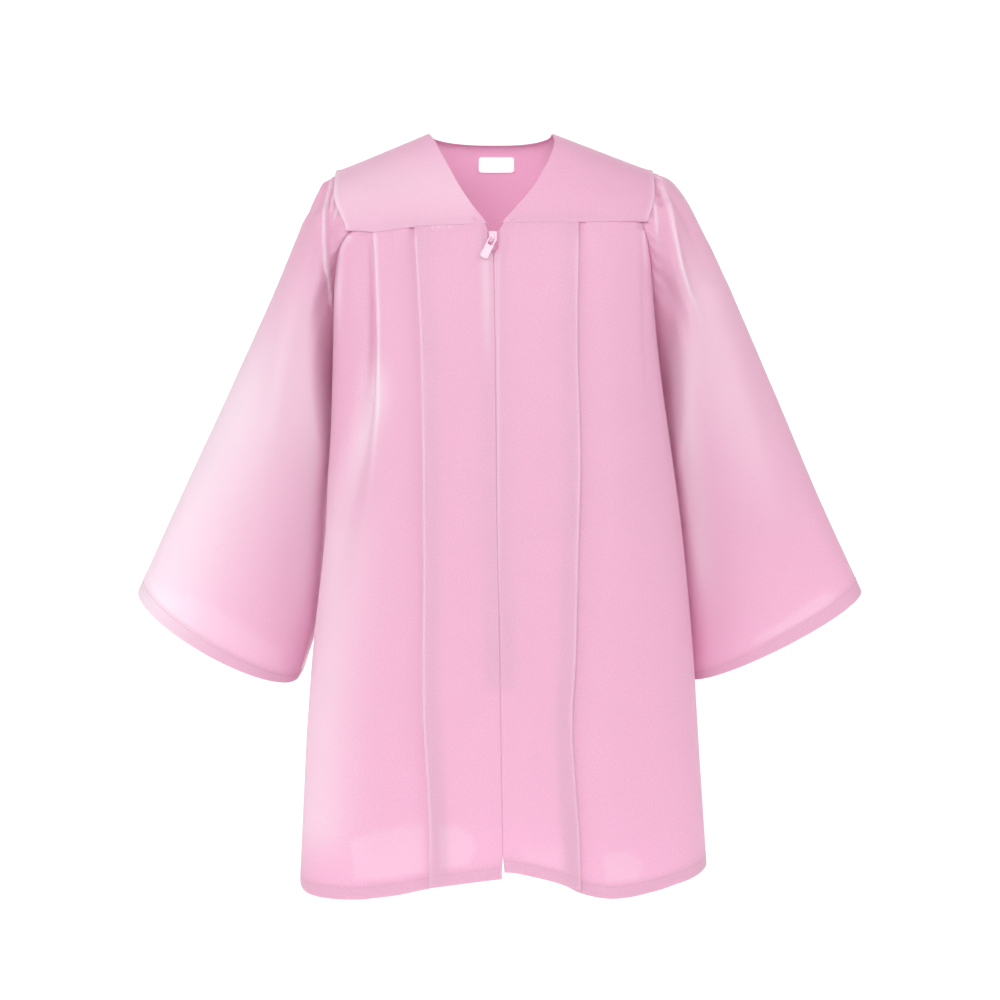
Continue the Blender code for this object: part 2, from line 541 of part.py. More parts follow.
def sleeve(side):
    """Grid of a sleeve's rings, from the armhole to the hem; its last column meets its first."""
    sign = SIDES[side]
    share = SLEEVE_ROWS[:, None]
    turn = np.radians(SLEEVE_TURNS)

    def at(wanted):
        return curve(SLEEVE[side], SLEEVE_COLUMNS, wanted, share)

    hole = armhole(side, SLEEVE_TURNS)
    near = (1 + np.cos(turn)) / 2  # 1 on the outer edge, 0 on the inner
    x = at("inner") + (at("outer") - at("inner")) * near
    z = at("inner_height") + (at("outer_height") - at("inner_height")) * near
    z = z - at("drop") * np.maximum(np.sin(turn), 0) + at("rise") * np.maximum(-np.sin(turn), 0)
    squared = np.sign(np.sin(turn)) * np.abs(np.sin(turn)) ** SLEEVE_SQUARE
    y = hole[:, 1] + (at("middle") - at("half") * squared - hole[:, 1]) * smooth(share / DEPTH_BLEND)
    straight_edge = at("inner")[0] + (at("outer")[0] - at("inner")[0]) * near
    x = x + (np.abs(hole[:, 0]) - straight_edge) * (1 - smooth(share / ACROSS_BLEND))
    points = np.stack([sign * (x + SLEEVE_CLEAR), y, z], axis=-1)
    away = points - points[:, :-1].mean(axis=1, keepdims=True)
    away /= np.linalg.norm(away, axis=-1, keepdims=True)
    points = points + away * sleeve_folds(side, share, points)[..., None]
    points[:, -1] = points[:, 0]
    return points


def sleeve_folds(side, share, points):
    """How far out the sleeve's gathers and long folds take the cloth."""
    from_seam = smooth(share / FOLD_START)
    head = np.abs((SLEEVE_TURNS + 180) % 360 - 180)
    gathers = GATHER_DEPTH * np.cos(np.radians(SLEEVE_TURNS) * GATHER_COUNT)
    round_head = 1 - smooth((head - GATHER_SPREAD) / GATHER_FADE)
    out = gathers * round_head * from_seam * (1 - smooth(share / GATHER_END))
    for fold in SLEEVE_FOLDS[side]:
        on_half = np.sin(np.radians(SLEEVE_TURNS)) * fold.half < 0
        off = distance(points[..., [0, 2]] * [SIDES[side], 1], fold.course) / fold.width
        crest = np.exp(-off * off) - FOLD_VALLEY * np.exp(-((off / 2) ** 2))
        out = out + fold.depth * crest / (1 - FOLD_VALLEY) * on_half * from_seam
    return out


def distance(places, course):
    """How far each place is from a course of straight lines."""
    course = np.array(course)
    nearest = np.full(places.shape[:-1], np.inf)
    for start, end in zip(course, course[1:]):
        line = end - start
        along = np.clip(((places - start) @ line) / (line @ line), 0, 1)
        nearest = np.minimum(nearest, np.linalg.norm(places - start - along[..., None] * line, axis=-1))
    return nearest


# ---- Building ----


def material(name, colour, roughness=0.85, metallic=0.0):
    made = bpy.data.materials.new(name)
    made.use_nodes = True
    shader = made.node_tree.nodes["Principled BSDF"]
    shader.inputs["Base Color"].default_value = (*colour, 1)
    shader.inputs["Roughness"].default_value = roughness
    shader.inputs["Metallic"].default_value = metallic
    return made


def add(name, mesh, collection, finish):
    """An object of that mesh, shaded smooth, in the gown's collection."""
    mesh.name = name
    mesh.materials.append(finish)
    obj = bpy.data.objects.new(name, mesh)
    collection.objects.link(obj)
    mesh.shade_smooth()
    mesh.set_sharp_from_angle(angle=math.radians(50))
    return obj


def cloth(name, points, collection, finish, thickness=CLOTH, hem=None):
    """A wall of cloth whose middle follows a grid of points. The last rows are thicker by a hem."""
    rows, columns = points.shape[:2]
    grid = bmesh.new()
    bmesh.ops.create_grid(grid, x_segments=columns - 1, y_segments=rows - 1)
    for vertex, place in zip(grid.verts, points.reshape(-1, 3)):
        vertex.co = place
    if np.allclose(points[:, 0], points[:, -1]):
        bmesh.ops.remove_doubles(grid, verts=grid.verts, dist=1e-7)
    mesh = bpy.data.meshes.new(name)
    grid.to_mesh(mesh)
    grid.free()
    obj = add(name, mesh, collection, finish)
    wall = obj.modifiers.new("Wall", "SOLIDIFY")
    wall.offset = 0
    wall.use_quality_normals = True
    wall.thickness = thickness
    if hem:
        group = obj.vertex_groups.new(name="Hem")
        group.add(range(len(mesh.vertices)), thickness / hem, "REPLACE")
        lowest = {tuple(np.round(p, 6)) for p in points[-2:].reshape(-1, 3)}
        doubled = [v.index for v in mesh.vertices if tuple(np.round(v.co, 6)) in lowest]
        group.add(doubled, 1.0, "REPLACE")
        wall.thickness = hem
        wall.vertex_group = group.name
    return obj


def box(bm, size, middle):
    """A cuboid added to bm."""
    cube = bmesh.ops.create_cube(bm, size=1.0)["verts"]
    for vertex in cube:
        vertex.co = np.array(vertex.co) * size + middle


def zip_tape(side, collection, finish):
    """One tape of the zip, behind the edge of its front panel."""
    height = ZIP_ROWS[:, None]
    start = straight(TAPE, TAPE_COLUMNS, "start", height)
    across = body("centre", height) * SIDES[side] + start + (TAPE_WIDTH - start) * np.linspace(0, 1, 3)
    turns = turn_across(side, height, across)
    points = on_body(side, height, turns, np.full(turns.shape, -(LAP + TAPE_CLOTH) / 2 - SEAM_GAP))
    return cloth(f"zip_tape_{side}", points, collection, finish, TAPE_CLOTH)


def zip_coil(collection, finish):
    """The closed chain's plain outer form, between the tapes."""
    height = np.linspace(SLIDER_HEIGHT - SLIDER_LENGTH / 2 - SEAM_GAP, ZIP_END, 15)[:, None]
    middle = on_body("left", height, 0.0)[:, 0]
    across = np.linspace(-1, 1, 3)[:, None] * [COIL_WIDTH / 2, 0, 0]
    points = middle[:, None] + across + [0, (LAP + COIL_DEPTH) / 2 + SEAM_GAP, 0]
    return cloth("zip_coil", points, collection, finish, COIL_DEPTH)


def slider_place():
    """The middle of the slider's body."""
    return on_body("left", SLIDER_HEIGHT, 0.0) + [0, SLIDER_SINK, 0]


def zip_slider(collection, finish):
    """The slider's body, with the bridge that carries the pull."""
    place = slider_place()
    body_mesh = bmesh.new()
    box(body_mesh, [SLIDER_WIDTH, SLIDER_DEPTH, SLIDER_LENGTH], place)
    mesh = bpy.data.meshes.new("zip_slider")
    body_mesh.to_mesh(mesh)
    body_mesh.free()
    slider = add("zip_slider", mesh, collection, finish)
    rounded = slider.modifiers.new("Rounded", "BEVEL")
    rounded.width = SLIDER_ROUND
    rounded.segments = 3
    arch = bpy.data.curves.new("bridge_line", "CURVE")
    arch.dimensions = "3D"
    line = arch.splines.new("POLY")
    bend = np.linspace(0, math.pi, BRIDGE_POINTS)
    line.points.add(len(bend) - 1)
    front = place[1] - SLIDER_DEPTH / 2
    for point, angle in zip(line.points, bend):
        rise = BRIDGE_RISE * math.sin(angle) ** 0.5
        reach = (BRIDGE_LENGTH - BRIDGE_STOCK) / 2 * math.cos(angle)
        point.co = (place[0], front + BRIDGE_SINK - rise, place[2] + reach, 1)
    arch.bevel_depth = BRIDGE_STOCK / 2
    arch.bevel_resolution = 2
    arch.use_fill_caps = True
    wire = bpy.data.objects.new("bridge_line", arch)
    collection.objects.link(wire)
    bpy.context.view_layer.update()
    bridge_mesh = bpy.data.meshes.new_from_object(wire.evaluated_get(bpy.context.evaluated_depsgraph_get()))
    bpy.data.objects.remove(wire)
    welded = bmesh.new()
    welded.from_mesh(bridge_mesh)
    bmesh.ops.remove_doubles(welded, verts=welded.verts, dist=1e-6)
    for vertex in welded.verts:  # the bridge is a strap, wider than it is thick
        vertex.co.x = place[0] + (vertex.co.x - place[0]) * BRIDGE_WIDTH / BRIDGE_STOCK
    welded.to_mesh(bridge_mesh)
    welded.free()
    bridge = bpy.data.objects.new("slider_bridge", bridge_mesh)
    bridge.hide_render = True
    bridge.display_type = "WIRE"
    helpers().objects.link(bridge)
    union = slider.modifiers.new("Bridge", "BOOLEAN")
    union.operation = "UNION"
    union.object = bridge
    return slider


def helpers():
    """The collection of shapes that only cut or join others."""
    found = bpy.data.collections.get("helpers")
    if not found:
        found = bpy.data.collections.new("helpers")
        bpy.context.scene.collection.children.link(found)
    return found


def zip_pull(collection, finish):
    """The pull: a flat tab with an eye round the slider's bridge, its origin on the eye's top bar."""
    tab = bpy.data.curves.new("zip_pull", "CURVE")
    tab.dimensions = "2D"
    tab.fill_mode = "BOTH"
    tab.extrude = PULL_DEPTH / 2
    half, border = PULL_WIDTH / 2, PULL_BORDER
    top, foot = border / 2, -PULL_LENGTH + border / 2
    half_top, half_eye_foot = half * PULL_TOP_SHARE, half * EYE_FOOT_SHARE
    rounded_outline(tab, half_top, half, top, foot, PULL_CORNER)
    eye_top, eye_foot = top - border, top - border - PULL_EYE_LENGTH
    rounded_outline(tab, half_top - border, half_eye_foot - border, eye_top, eye_foot, EYE_CORNER)
    obj = bpy.data.objects.new("zip_pull", tab)
    collection.objects.link(obj)
    tab.materials.append(finish)
    place = slider_place()
    rise = SLIDER_DEPTH / 2 + BRIDGE_RISE - BRIDGE_STOCK - PULL_PLAY - PULL_DEPTH / 2
    obj.location = (place[0], place[1] - rise, place[2] - PULL_DROP)
    obj.rotation_euler = (math.pi / 2 - PULL_TILT, PULL_LEAN, 0)
    return obj


def rounded_outline(flat, half_top, half_foot, top, foot, radius):
    """A closed outline with round corners, wider at its foot than at its top."""
    corners = ((half_top, top, 0), (-half_top, top, 90), (-half_foot, foot, 180), (half_foot, foot, 270))
    line = flat.splines.new("POLY")
    places = []
    for x, y, start in corners:
        centre = (x - math.copysign(radius, x), y - radius if y == top else y + radius)
        for step in range(4):
            angle = math.radians(start + step * 30)
            places.append((centre[0] + radius * math.cos(angle), centre[1] + radius * math.sin(angle)))
    line.points.add(len(places) - 1)
    for point, (x, y) in zip(line.points, places):
        point.co = (x, y, 0, 1)
    line.use_cyclic_u = True


def neck_label(yoke, collection, finish):
    """The size label inside the back neck, lying on the back yoke's inner face."""
    inside = moved_out(yoke, -(CLOTH + LABEL_CLOTH) / 2 - SEAM_GAP)
    fall = inside[::-1, yoke.shape[1] // 2]  # the centre back line, from its foot up
    across = np.linspace(-1, 1, 5) * LABEL_WIDTH / 2 + LABEL_ASIDE
    height = np.linspace(LABEL_TOP, LABEL_TOP - LABEL_HEIGHT, 3)[:, None]
    row = inside[np.abs(inside[:, yoke.shape[1] // 2, 2] - height.mean()).argmin()]
    bow = np.interp(across, row[:, 0], row[:, 1]) - np.interp(0, row[:, 0], row[:, 1])
    y = np.interp(height, fall[:, 2], fall[:, 1]) + bow
    x, z = np.broadcast_to(across, y.shape), np.broadcast_to(height, y.shape)
    return cloth("neck_label", np.stack([x, y, z], axis=-1), collection, finish, LABEL_CLOTH)


def clear_scene():
    for obj in list(bpy.data.objects):
        bpy.data.objects.remove(obj)


def main():
    clear_scene()
    gown = bpy.data.collections.new("graduation_gown")
    bpy.context.scene.collection.children.link(gown)
    pink = material("pink_cloth", (0.84, 0.44, 0.62))
    tape_pink = material("pink_tape", (0.82, 0.46, 0.62))
    nylon = material("pink_nylon", (0.90, 0.62, 0.74), roughness=0.4)
    enamel = material("pink_enamel", (0.90, 0.62, 0.74), roughness=0.35)
    white = material("label_white", (0.90, 0.88, 0.92), roughness=0.6)
    for side in SIDES:
        cloth(f"front_yoke_{side}", front_yoke(side), gown, pink)
        cloth(f"front_panel_{side}", front_panel(side), gown, pink, hem=HEM_CLOTH)
        cloth(f"sleeve_{side}", sleeve(side), gown, pink, hem=HEM_CLOTH)
        zip_tape(side, gown, tape_pink)
    yoke = back_yoke()
    cloth("back_yoke", yoke, gown, pink)
    cloth("back_panel", back_panel(), gown, pink, hem=HEM_CLOTH)
    zip_coil(gown, nylon)
    zip_slider(gown, enamel)
    zip_pull(gown, enamel)
    neck_label(yoke, gown, white)


main()
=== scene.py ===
# Looks of the graduation gown: thin cloth with its creases, rolled edges and turned hems, its stitches, the
# zip's teeth, and every finish, with highlights painted into the cloth's colour. The gown faces -Y, +Z is
# up, and its wearer's left is +X. Sizes are in metres, but in millimetres in tables and in the lists of
# folds, creases and painted highlights.

import json
import math
from collections import namedtuple

import bpy
import numpy as np
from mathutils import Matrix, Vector


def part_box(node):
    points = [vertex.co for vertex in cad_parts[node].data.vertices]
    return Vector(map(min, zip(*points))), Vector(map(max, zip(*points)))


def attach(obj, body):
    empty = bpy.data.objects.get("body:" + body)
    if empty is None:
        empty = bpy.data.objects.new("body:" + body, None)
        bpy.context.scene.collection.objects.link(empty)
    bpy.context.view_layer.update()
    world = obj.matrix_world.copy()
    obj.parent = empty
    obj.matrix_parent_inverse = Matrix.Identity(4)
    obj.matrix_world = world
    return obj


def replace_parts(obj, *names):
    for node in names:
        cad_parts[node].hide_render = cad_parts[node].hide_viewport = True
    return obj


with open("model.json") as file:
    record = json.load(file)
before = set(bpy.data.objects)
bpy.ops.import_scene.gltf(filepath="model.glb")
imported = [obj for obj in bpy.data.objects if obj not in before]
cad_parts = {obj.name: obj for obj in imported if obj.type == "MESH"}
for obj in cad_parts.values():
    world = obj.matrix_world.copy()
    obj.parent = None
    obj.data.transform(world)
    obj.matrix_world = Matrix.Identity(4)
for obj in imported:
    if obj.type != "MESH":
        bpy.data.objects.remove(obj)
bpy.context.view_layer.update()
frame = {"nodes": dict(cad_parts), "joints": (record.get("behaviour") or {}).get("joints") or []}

WALL = 0.0006  # of the cloth as it shows
LAP = 0.00155  # from the middle of one layer of cloth to the middle of the next
TUCK = 0.005  # how far a panel reaches up under the yoke's edge
YOKE_OVERHANG = 0.0020
YOKE_WELT = 0.0007

SIDES = {"right": -1, "left": 1}  # the wearer's sides
FRONT, BACK = -1, 1  # the halves of a sleeve
GOWN_INSIDE, SLEEVE_INSIDE = (0, 0, -0.1), (0.15, 0, -0.2)  # points inside the gown and its left sleeve

UNSCALED = "turn share front_square back_square".split()  # columns that aren't in millimetres


class Table:
    """Rows of named columns. Asked for one column at places of the first, it gives metres."""

    def __init__(self, columns, *rows):
        self.columns = columns.split()
        self.rows = np.array(sorted(rows)) / [1 if name in UNSCALED else 1000 for name in self.columns]

    def straight(self, wanted, at):
        """The column on straight lines between the rows."""
        return np.interp(at, self.rows[:, 0], self.rows[:, self.columns.index(wanted)])

    def __call__(self, wanted, at):
        """The column on a smooth curve through the rows."""
        x, y = self.rows[:, 0], self.rows[:, self.columns.index(wanted)]
        slope = np.gradient(y, x)
        at = np.clip(np.asarray(at, float), x[0], x[-1])
        i = np.clip(np.searchsorted(x, at) - 1, 0, len(x) - 2)
        width = x[i + 1] - x[i]
        t = (at - x[i]) / width
        return (
            (1 + 2 * t) * (1 - t) ** 2 * y[i]
            + t * (1 - t) ** 2 * width * slope[i]
            + t * t * (3 - 2 * t) * y[i + 1]
            - t * t * (1 - t) * width * slope[i + 1]
        )


# ---- The gown's form, with the sizes of its solids ----

body = Table(
    "height right left front back widest centre front_square back_square",
    (-620, 156.5, 168, -106, 98, -20, 5.5, 2.3, 2.2),
    (-500, 151, 160, -101, 93, -22, 3.5, 2.3, 2.2),
    (-400, 145.8, 153.5, -95, 87, -24, 2, 2.3, 2.2),
    (-300, 135.5, 143.5, -88, 80, -26, 0, 2.3, 2.3),
    (-250, 131.2, 136.5, -84.5, 76, -27, -0.5, 2.3, 2.6),
    (-200, 129.5, 129.5, -80, 72, -28, -1, 2.3, 3.0),
    (-130, 127.5, 122.5, -72, 64, -30, -2, 2.4, 4.5),
    (-85, 125.5, 120.5, -63, 55.5, -30, -3, 2.5, 6.0),
    (-55, 123, 119, -51, 44.5, -28, -3.5, 2.5, 6.0),
)

# The armhole, seen from the side: how deep it lies at each turn from the top over the front.
ARMHOLE = Table(
    "turn right left",
    (0, 3, 3), (20, -18, -17), (41, -36, -33), (58, -45.5, -41.5), (66, -47, -42.5), (75, -42.5, -39.5),
    (87, -34.5, -34), (103, -22, -22.5), (123, -9, -9), (146, 3, 3), (180, 13, 13), (214, 24, 24),
    (237, 35, 35), (258, 43, 43), (277, 47.5, 47.5), (293, 46, 46), (319, 37, 37), (340, 22, 22),
    (360, 3, 3),
)
SHOULDER_HEIGHT, ARMPIT_HEIGHT = -0.0315, -0.205
SHOULDER_HALF_WIDTH = {"right": 0.1245, "left": 0.1205}
SHOULDER_ROUND = 2.3
SIDE_SEAM_DEPTH = 0.013

NECK = Table(
    "height right left",
    (-90, 5, 1), (-78, 9.2, 5), (-65, 19, 16), (-50, 29.2, 28.2), (-35, 37.2, 37.2), (-20, 45, 44),
    (-10, 50, 46.2), (-2.5, 54.5, 44.2),
)
NECK_POINT_HEIGHT = -0.0025
BACK_NECK_DEPTH, BACK_NECK_HEIGHT, BACK_NECK_ROUND = 0.045, -0.005, 0.8

YOKE_SEAM = Table(
    "across height",
    (-120, -82.2), (-110.8, -82.8), (-96.5, -84.2), (-65.1, -80.6), (-11.5, -78.4), (4, -77.8), (96, -75.6),
    (120, -74.6),
)
YOKE_SEAM_START, YOKE_SEAM_REACH = 0.006, 0.110
YOKE_LEVEL, BACK_YOKE_HEIGHT = -0.080, -0.105
FRONT_SETTLE, BACK_SETTLE, WELT_NARROW = 3, 5, 8

HEM = Table(
    "turn right left",
    (0, -579.7, -575.2), (5, -581.9, -578.5), (11, -584.6, -582.8), (20, -588.6, -591.2),
    (30, -593, -595.6), (42, -596.6, -596), (56, -599.7, -592.5), (70, -598.3, -588), (90, -590, -580),
    (135, -577, -583), (180, -566, -566),
)
HEM_LEVEL = -0.590

PLEAT = Table(
    "height right left",
    (-610, 51.5, 64), (-550, 51, 63), (-510, 53, 60), (-460, 56.2, 57.5), (-420, 56.5, 60),
    (-350, 56.2, 62), (-260, 57, 64.2), (-170, 59, 62.2), (-85, 64, 63.5),
)
PLEAT_UNDERLAP, PLEAT_RADIUS, PLEAT_EASE = 0.013, 0.00062, 0.030
PLEAT_LOW = 4 * PLEAT_RADIUS  # how deep the cloth lies beyond a pleat's two folds
SIDE_EASE = math.radians(14)

SOFT_PLEAT_COLUMNS = "height across step width"
SOFT_PLEAT = {
    "right": Table(
        SOFT_PLEAT_COLUMNS,
        (-480, 118, 0, 30), (-400, 112, 3.5, 26), (-310, 101, 6.5, 17), (-220, 93, 7, 9),
        (-150, 92.5, 6, 6), (-80, 96, 4, 5),
    ),
    "left": Table(
        SOFT_PLEAT_COLUMNS,
        (-420, 118, 0, 20), (-300, 115, 0.4, 14), (-180, 112, 1.1, 8), (-80, 110, 1.4, 5),
    ),
}
SOFT_RECOVER, SOFT_RIDGE, SOFT_EDGE, SOFT_START = 2.4, 0.2, 0.4, 0.015
SOFT_KNOTS = (0, 0.38, 0.60, 1)
SOFT_SHARP, SOFT_LOOSE, SOFT_LOOSENS = 0.42, -0.17, 0.16  # narrower under the yoke, by height
SOFT_KEEP = 0.6  # share of the solid's step that the thin cloth shows
SOFT_FIRST, SOFT_GROWS = 0.35, 0.045  # share of its step at the seam, and how far down it is full

FLUTES = Table(
    "height depth",
    (-620, 8.5), (-450, 6.2), (-250, 3.6), (-98, 1.1),
)
FLUTE_COUNT, FLUTE_SWAY, FLUTE_SWAY_RATE, FLUTE_FADE = 8, 0.5, 5, 0.25
BACK_TUCK = 0.994

OPENING = Table(
    "height right left",
    (-620, 0.3, 0.3), (-590, 0.3, 0.3), (-576.5, 1.3, 1.3), (-562, 0.1, 0.1), (-103, 0.1, 0.1),
    (-98, 4.1, 4.1), (-84.5, 4.1, 4.6), (-78.5, 6.2, 8.2), (-73.5, 11.2, 13.7), (-70, 14, 17),
)

SLEEVE_COLUMNS = "share outer outer_height inner inner_height middle half drop rise"
SLEEVE = {
    "right": Table(
        SLEEVE_COLUMNS,
        (0.0, 124.5, -31.5, 130, -205, 3, 46, 0, 0),
        (0.08, 140, -45.5, 131.5, -222, 5, 49, 1, 0),
        (0.22, 159, -87, 133.5, -256, 10, 50, 3, 1),
        (0.4, 187.5, -149, 137, -298, 16, 50, 6, 2),
        (0.6, 219, -217, 140.5, -345, 22, 51, 11, 3),
        (0.82, 255, -293, 146, -395, 27, 52, 16, 5),
        (1.0, 287.5, -364, 157.5, -432.5, 29, 55, 20, 6),
    ),
    "left": Table(
        SLEEVE_COLUMNS,
        (0.0, 120.5, -31.5, 130, -205, 3, 46, 0, 0),
        (0.08, 140, -41, 133.5, -222, 5, 49, 1, 0),
        (0.22, 166, -84.5, 138.5, -256, 10, 50, 2, 0),
        (0.4, 194, -143, 144, -300, 16, 50, 5, 0),
        (0.6, 224, -211, 148, -347, 22, 51, 8, 1),
        (0.82, 259, -293, 151, -398, 27, 52, 10, 1),
        (1.0, 292, -364.5, 152, -434, 29, 55, 11.5, 1),
    ),
}
SLEEVE_CLEAR = 0.0009  # from the armhole's line to the sleeve's first ring
SLEEVE_SQUARE = 0.45  # power that flattens its front and back, 1 giving an ellipse
DEPTH_BLEND, ACROSS_BLEND, FOLD_START = 0.28, 0.09, 0.07
GATHER_COUNT, GATHER_DEPTH, GATHER_END, GATHER_SPREAD, GATHER_FADE = 14, 0.0024, 0.26, 85, 35
# The fine tucks right at the armhole seam:
TUCK_COUNT, TUCK_DEPTH, TUCK_END, TUCK_START = 44, 0.0007, 0.05, 0.015
FOLD_FULL = 0.3  # share of a long fold's course from which it fades

# Long folds of the sleeves: on which half, how high, how wide to each side, and the course as seen from
# the front, each place across and up. FOLD_VALLEY is how deep the cloth lies to both sides of one, as a
# share of its crest, and how much wider that is.
FOLD_VALLEY, FOLD_VALLEY_WIDTH = 0.35, 2
Fold = namedtuple("Fold", "half depth width course")


def fold(half, depth, width, *course):
    """A fold from its sizes in millimetres."""
    return Fold(half, depth / 1000, width / 1000, np.array(course) / 1000)


SLEEVE_FOLDS = {
    "right": (
        fold(FRONT, 7.5, 7, (131, -46), (137, -62), (137.5, -85), (136, -106), (133, -130), (128, -152)),
        fold(FRONT, 4, 11, (150, -78), (163, -140), (176, -220), (190, -330)),
        fold(BACK, 6, 9, (131, -60), (142, -110), (157, -190), (172, -280)),
        fold(BACK, 4.5, 11, (146, -70), (172, -150), (205, -240), (230, -310)),
    ),
    "left": (
        fold(FRONT, 7.5, 7, (124, -42), (131, -56), (134.5, -70), (138, -90), (143, -112), (149, -135),
            (158, -170)),
        fold(FRONT, 3.5, 12, (172, -130), (192, -200), (214, -280), (232, -345)),
        fold(BACK, 6, 9, (128, -60), (140, -110), (155, -190), (168, -290)),
        fold(BACK, 4.5, 11, (146, -65), (176, -150), (212, -250), (236, -320)),
    ),
}

LABEL_WIDTH, LABEL_HEIGHT, LABEL_TOP, LABEL_ASIDE, LABEL_WALL = 0.029, 0.0122, -0.0125, -0.0005, 0.0003
LABEL_CORNER, LABEL_CLEAR = 0.0022, 0.0009
PULL_LENGTH, PULL_WIDTH, PULL_DEPTH, PULL_EYE_LENGTH = 0.0190, 0.0070, 0.0009, 0.0062
PULL_LEAN, PULL_TILT = math.radians(25), math.radians(15)

# ---- Finer form, of the cloth alone ----

ROLL, ROLL_SWEEP = 0.0008, 100  # radius to which an edge rolls in, and how far round, in degrees
YOKE_SETTLE, YOKE_SETTLES = 0.0009, 0.80  # how far a yoke's lower edge comes down, from what share
PLEAT_LIFT = 0.012  # width past a pleat's edge over which the yoke comes down to the layer below
EASE_AT_SEAM, EASE_GROWS = 0.010, 0.045  # over which that layer comes up, and how far down it widens
HEM_ROLL = 0.00045  # half the space between a hem's two layers
HEM_WIDTH_ROWS = 11  # rows that the hem turns back up
PLEAT_ROUND = 0.0009  # how far round its edge a pleat turns
PLEAT_CREST, PLEAT_CREST_WIDTH = 0.0007, 0.0016  # how far the edge stands up, and over what width
CREST_START, CREST_SWAY, CREST_SWAY_RATE = 0.006, 0.25, 37  # how it begins and how uneven it is
EDGE_ROLL, EDGE_ROLL_DEPTH = 0.0007, 0.6  # radius of a front panel's edge beside the zip, and its share
RIDGE_HEIGHT, RIDGE_WIDTH, RIDGE_AT, RIDGE_END = 0.0011, 0.0026, 0.0052, 0.075  # of the roll beside it
SEAM_VALLEY, SEAM_WIDTH = 0.0011, 0.0022  # of the side seams
PUCKER_HEIGHT, PUCKER_PITCH, PUCKER_START, PUCKER_REACH = 0.00028, 0.0062, 0.001, 0.010
PUCKER_UNEVEN, PUCKER_UNEVEN_RATE, PUCKER_FREE = 3, 90, 0.012  # none beside the zip, full from here on
BACK_PUCKER = 2 * PUCKER_HEIGHT


def stretches(*ends):
    """Shares from 0 to 1, in stretches of (last share, number of steps)."""
    made, start = [], 0.0
    for end, steps in ends:
        made.append(np.linspace(start, end, steps, endpoint=False))
        start = end
    return np.concatenate([*made, [1.0]])


PANEL_ROWS = stretches((0.05, 26), (0.965, 134), (1, 18))
TOP_SHARES = stretches((0.10, 12), (0.84, 18), (1, 16))
UNDER_SHARES = stretches((0.06, 8), (0.38, 22), (0.60, 26), (0.96, 30), (1, 8))
FOLD_STEPS, ROLL_STEPS, HEM_STEPS = 7, 6, 7  # round a pleat's fold, a rolled edge and a hem's turn
BACK_ROWS = stretches((0.05, 20), (0.965, 120), (1, 18))
BACK_SHARES = stretches((0.05, 8), (1, 84))
SLEEVE_ROWS = stretches((0.12, 30), (0.5, 50), (0.965, 34), (1, 12))
SLEEVE_TURNS = np.concatenate(
    [np.arange(0, 24, 1), np.arange(24, 120, 0.6), np.arange(120, 300, 2.5), np.arange(300, 361, 2)]
)
YOKE_STEPS = 64
SHOULDER_STEPS, NECK_STEPS = 43, 49
LABEL_ROWS, LABEL_COLUMNS = 26, 41


def together(*parts):
    """Points from arrays of their coordinates."""
    return np.stack(np.broadcast_arrays(*parts), axis=-1)


def norm(vectors):
    return np.linalg.norm(vectors, axis=-1)


def smooth(share):
    """0 to 1 with level ends, as share goes from 0 to 1."""
    share = np.clip(share, 0, 1)
    return share * share * (3 - 2 * share)


def half_and_square(height, front):
    """(how deep the section's front or back half is, how square it is) at a height."""
    reach = np.where(
        front,
        body("widest", height) - body("front", height),
        body("back", height) - body("widest", height),
    )
    return reach, np.where(front, body("front_square", height), body("back_square", height))


def turn_at_depth(height, depth):
    """The turn at which the body's section is that deep: 0 at the centre front, pi at the back."""
    front = depth < body("widest", height)
    reach, square = half_and_square(height, front)
    share = np.clip(np.abs(depth - body("widest", height)) / reach, 0, 1)
    turn = np.arccos(share ** (square / 2))
    return np.where(front, turn, math.pi - turn)


def turn_across(side, height, across):
    """The turn, in front, at which the section lies that far from the gown's middle plane."""
    middle = body("centre", height) * SIDES[side]
    share = np.clip((across - middle) / (body(side, height) - middle), 0, 1)
    return np.arcsin(share ** (body("front_square", height) / 2))


def on_body(side, height, turn, out=0.0):
    """A point of the body's form, moved out level by some distance."""
    height, turn = np.broadcast_arrays(np.asarray(height, float), np.asarray(turn, float))
    sign = SIDES[side]
    reach, square = half_and_square(height, turn <= math.pi / 2)
    middle = body("centre", height) * sign
    wide = body(side, height) - middle
    across = np.abs(np.sin(turn)) ** (2 / square)
    deep = np.sign(np.cos(turn)) * np.abs(np.cos(turn)) ** (2 / square)
    x = sign * (middle + wide * across)
    y = body("widest", height) - reach * deep
    slope = -np.sign(deep) * np.abs(deep) ** (square - 1) / reach
    away = unit(together(sign * across ** (square - 1) / wide, slope, 0))
    return together(x, y, height) + away * np.asarray(out, float)[..., None]


def armhole_turn(height, front):
    """The armhole's turn, in degrees, at a height."""
    middle = (SHOULDER_HEIGHT + ARMPIT_HEIGHT) / 2
    turn = np.degrees(np.arccos(np.clip((height - middle) / (SHOULDER_HEIGHT - middle), -1, 1)))
    return turn if front else 360 - turn


def yoke_corner_height(side):
    return YOKE_SEAM.rows[0 if side == "right" else -1, 1]


def armhole(side, degrees):
    """The armhole's line at each turn, in degrees from the shoulder over the front."""
    degrees = np.asarray(degrees, float)
    middle = (SHOULDER_HEIGHT + ARMPIT_HEIGHT) / 2
    height = middle + (SHOULDER_HEIGHT - middle) * np.cos(np.radians(degrees))
    depth = ARMHOLE(side, degrees)
    seam = np.where(degrees < 180, yoke_corner_height(side), BACK_YOKE_HEIGHT)
    low = np.minimum(height, seam)
    across = SIDES[side] * on_body(side, low, turn_at_depth(low, depth))[..., 0]
    above = smooth((height - seam) / (SHOULDER_HEIGHT - seam))
    across += above * (SHOULDER_HALF_WIDTH[side] - across)
    return together(SIDES[side] * across, depth, height)


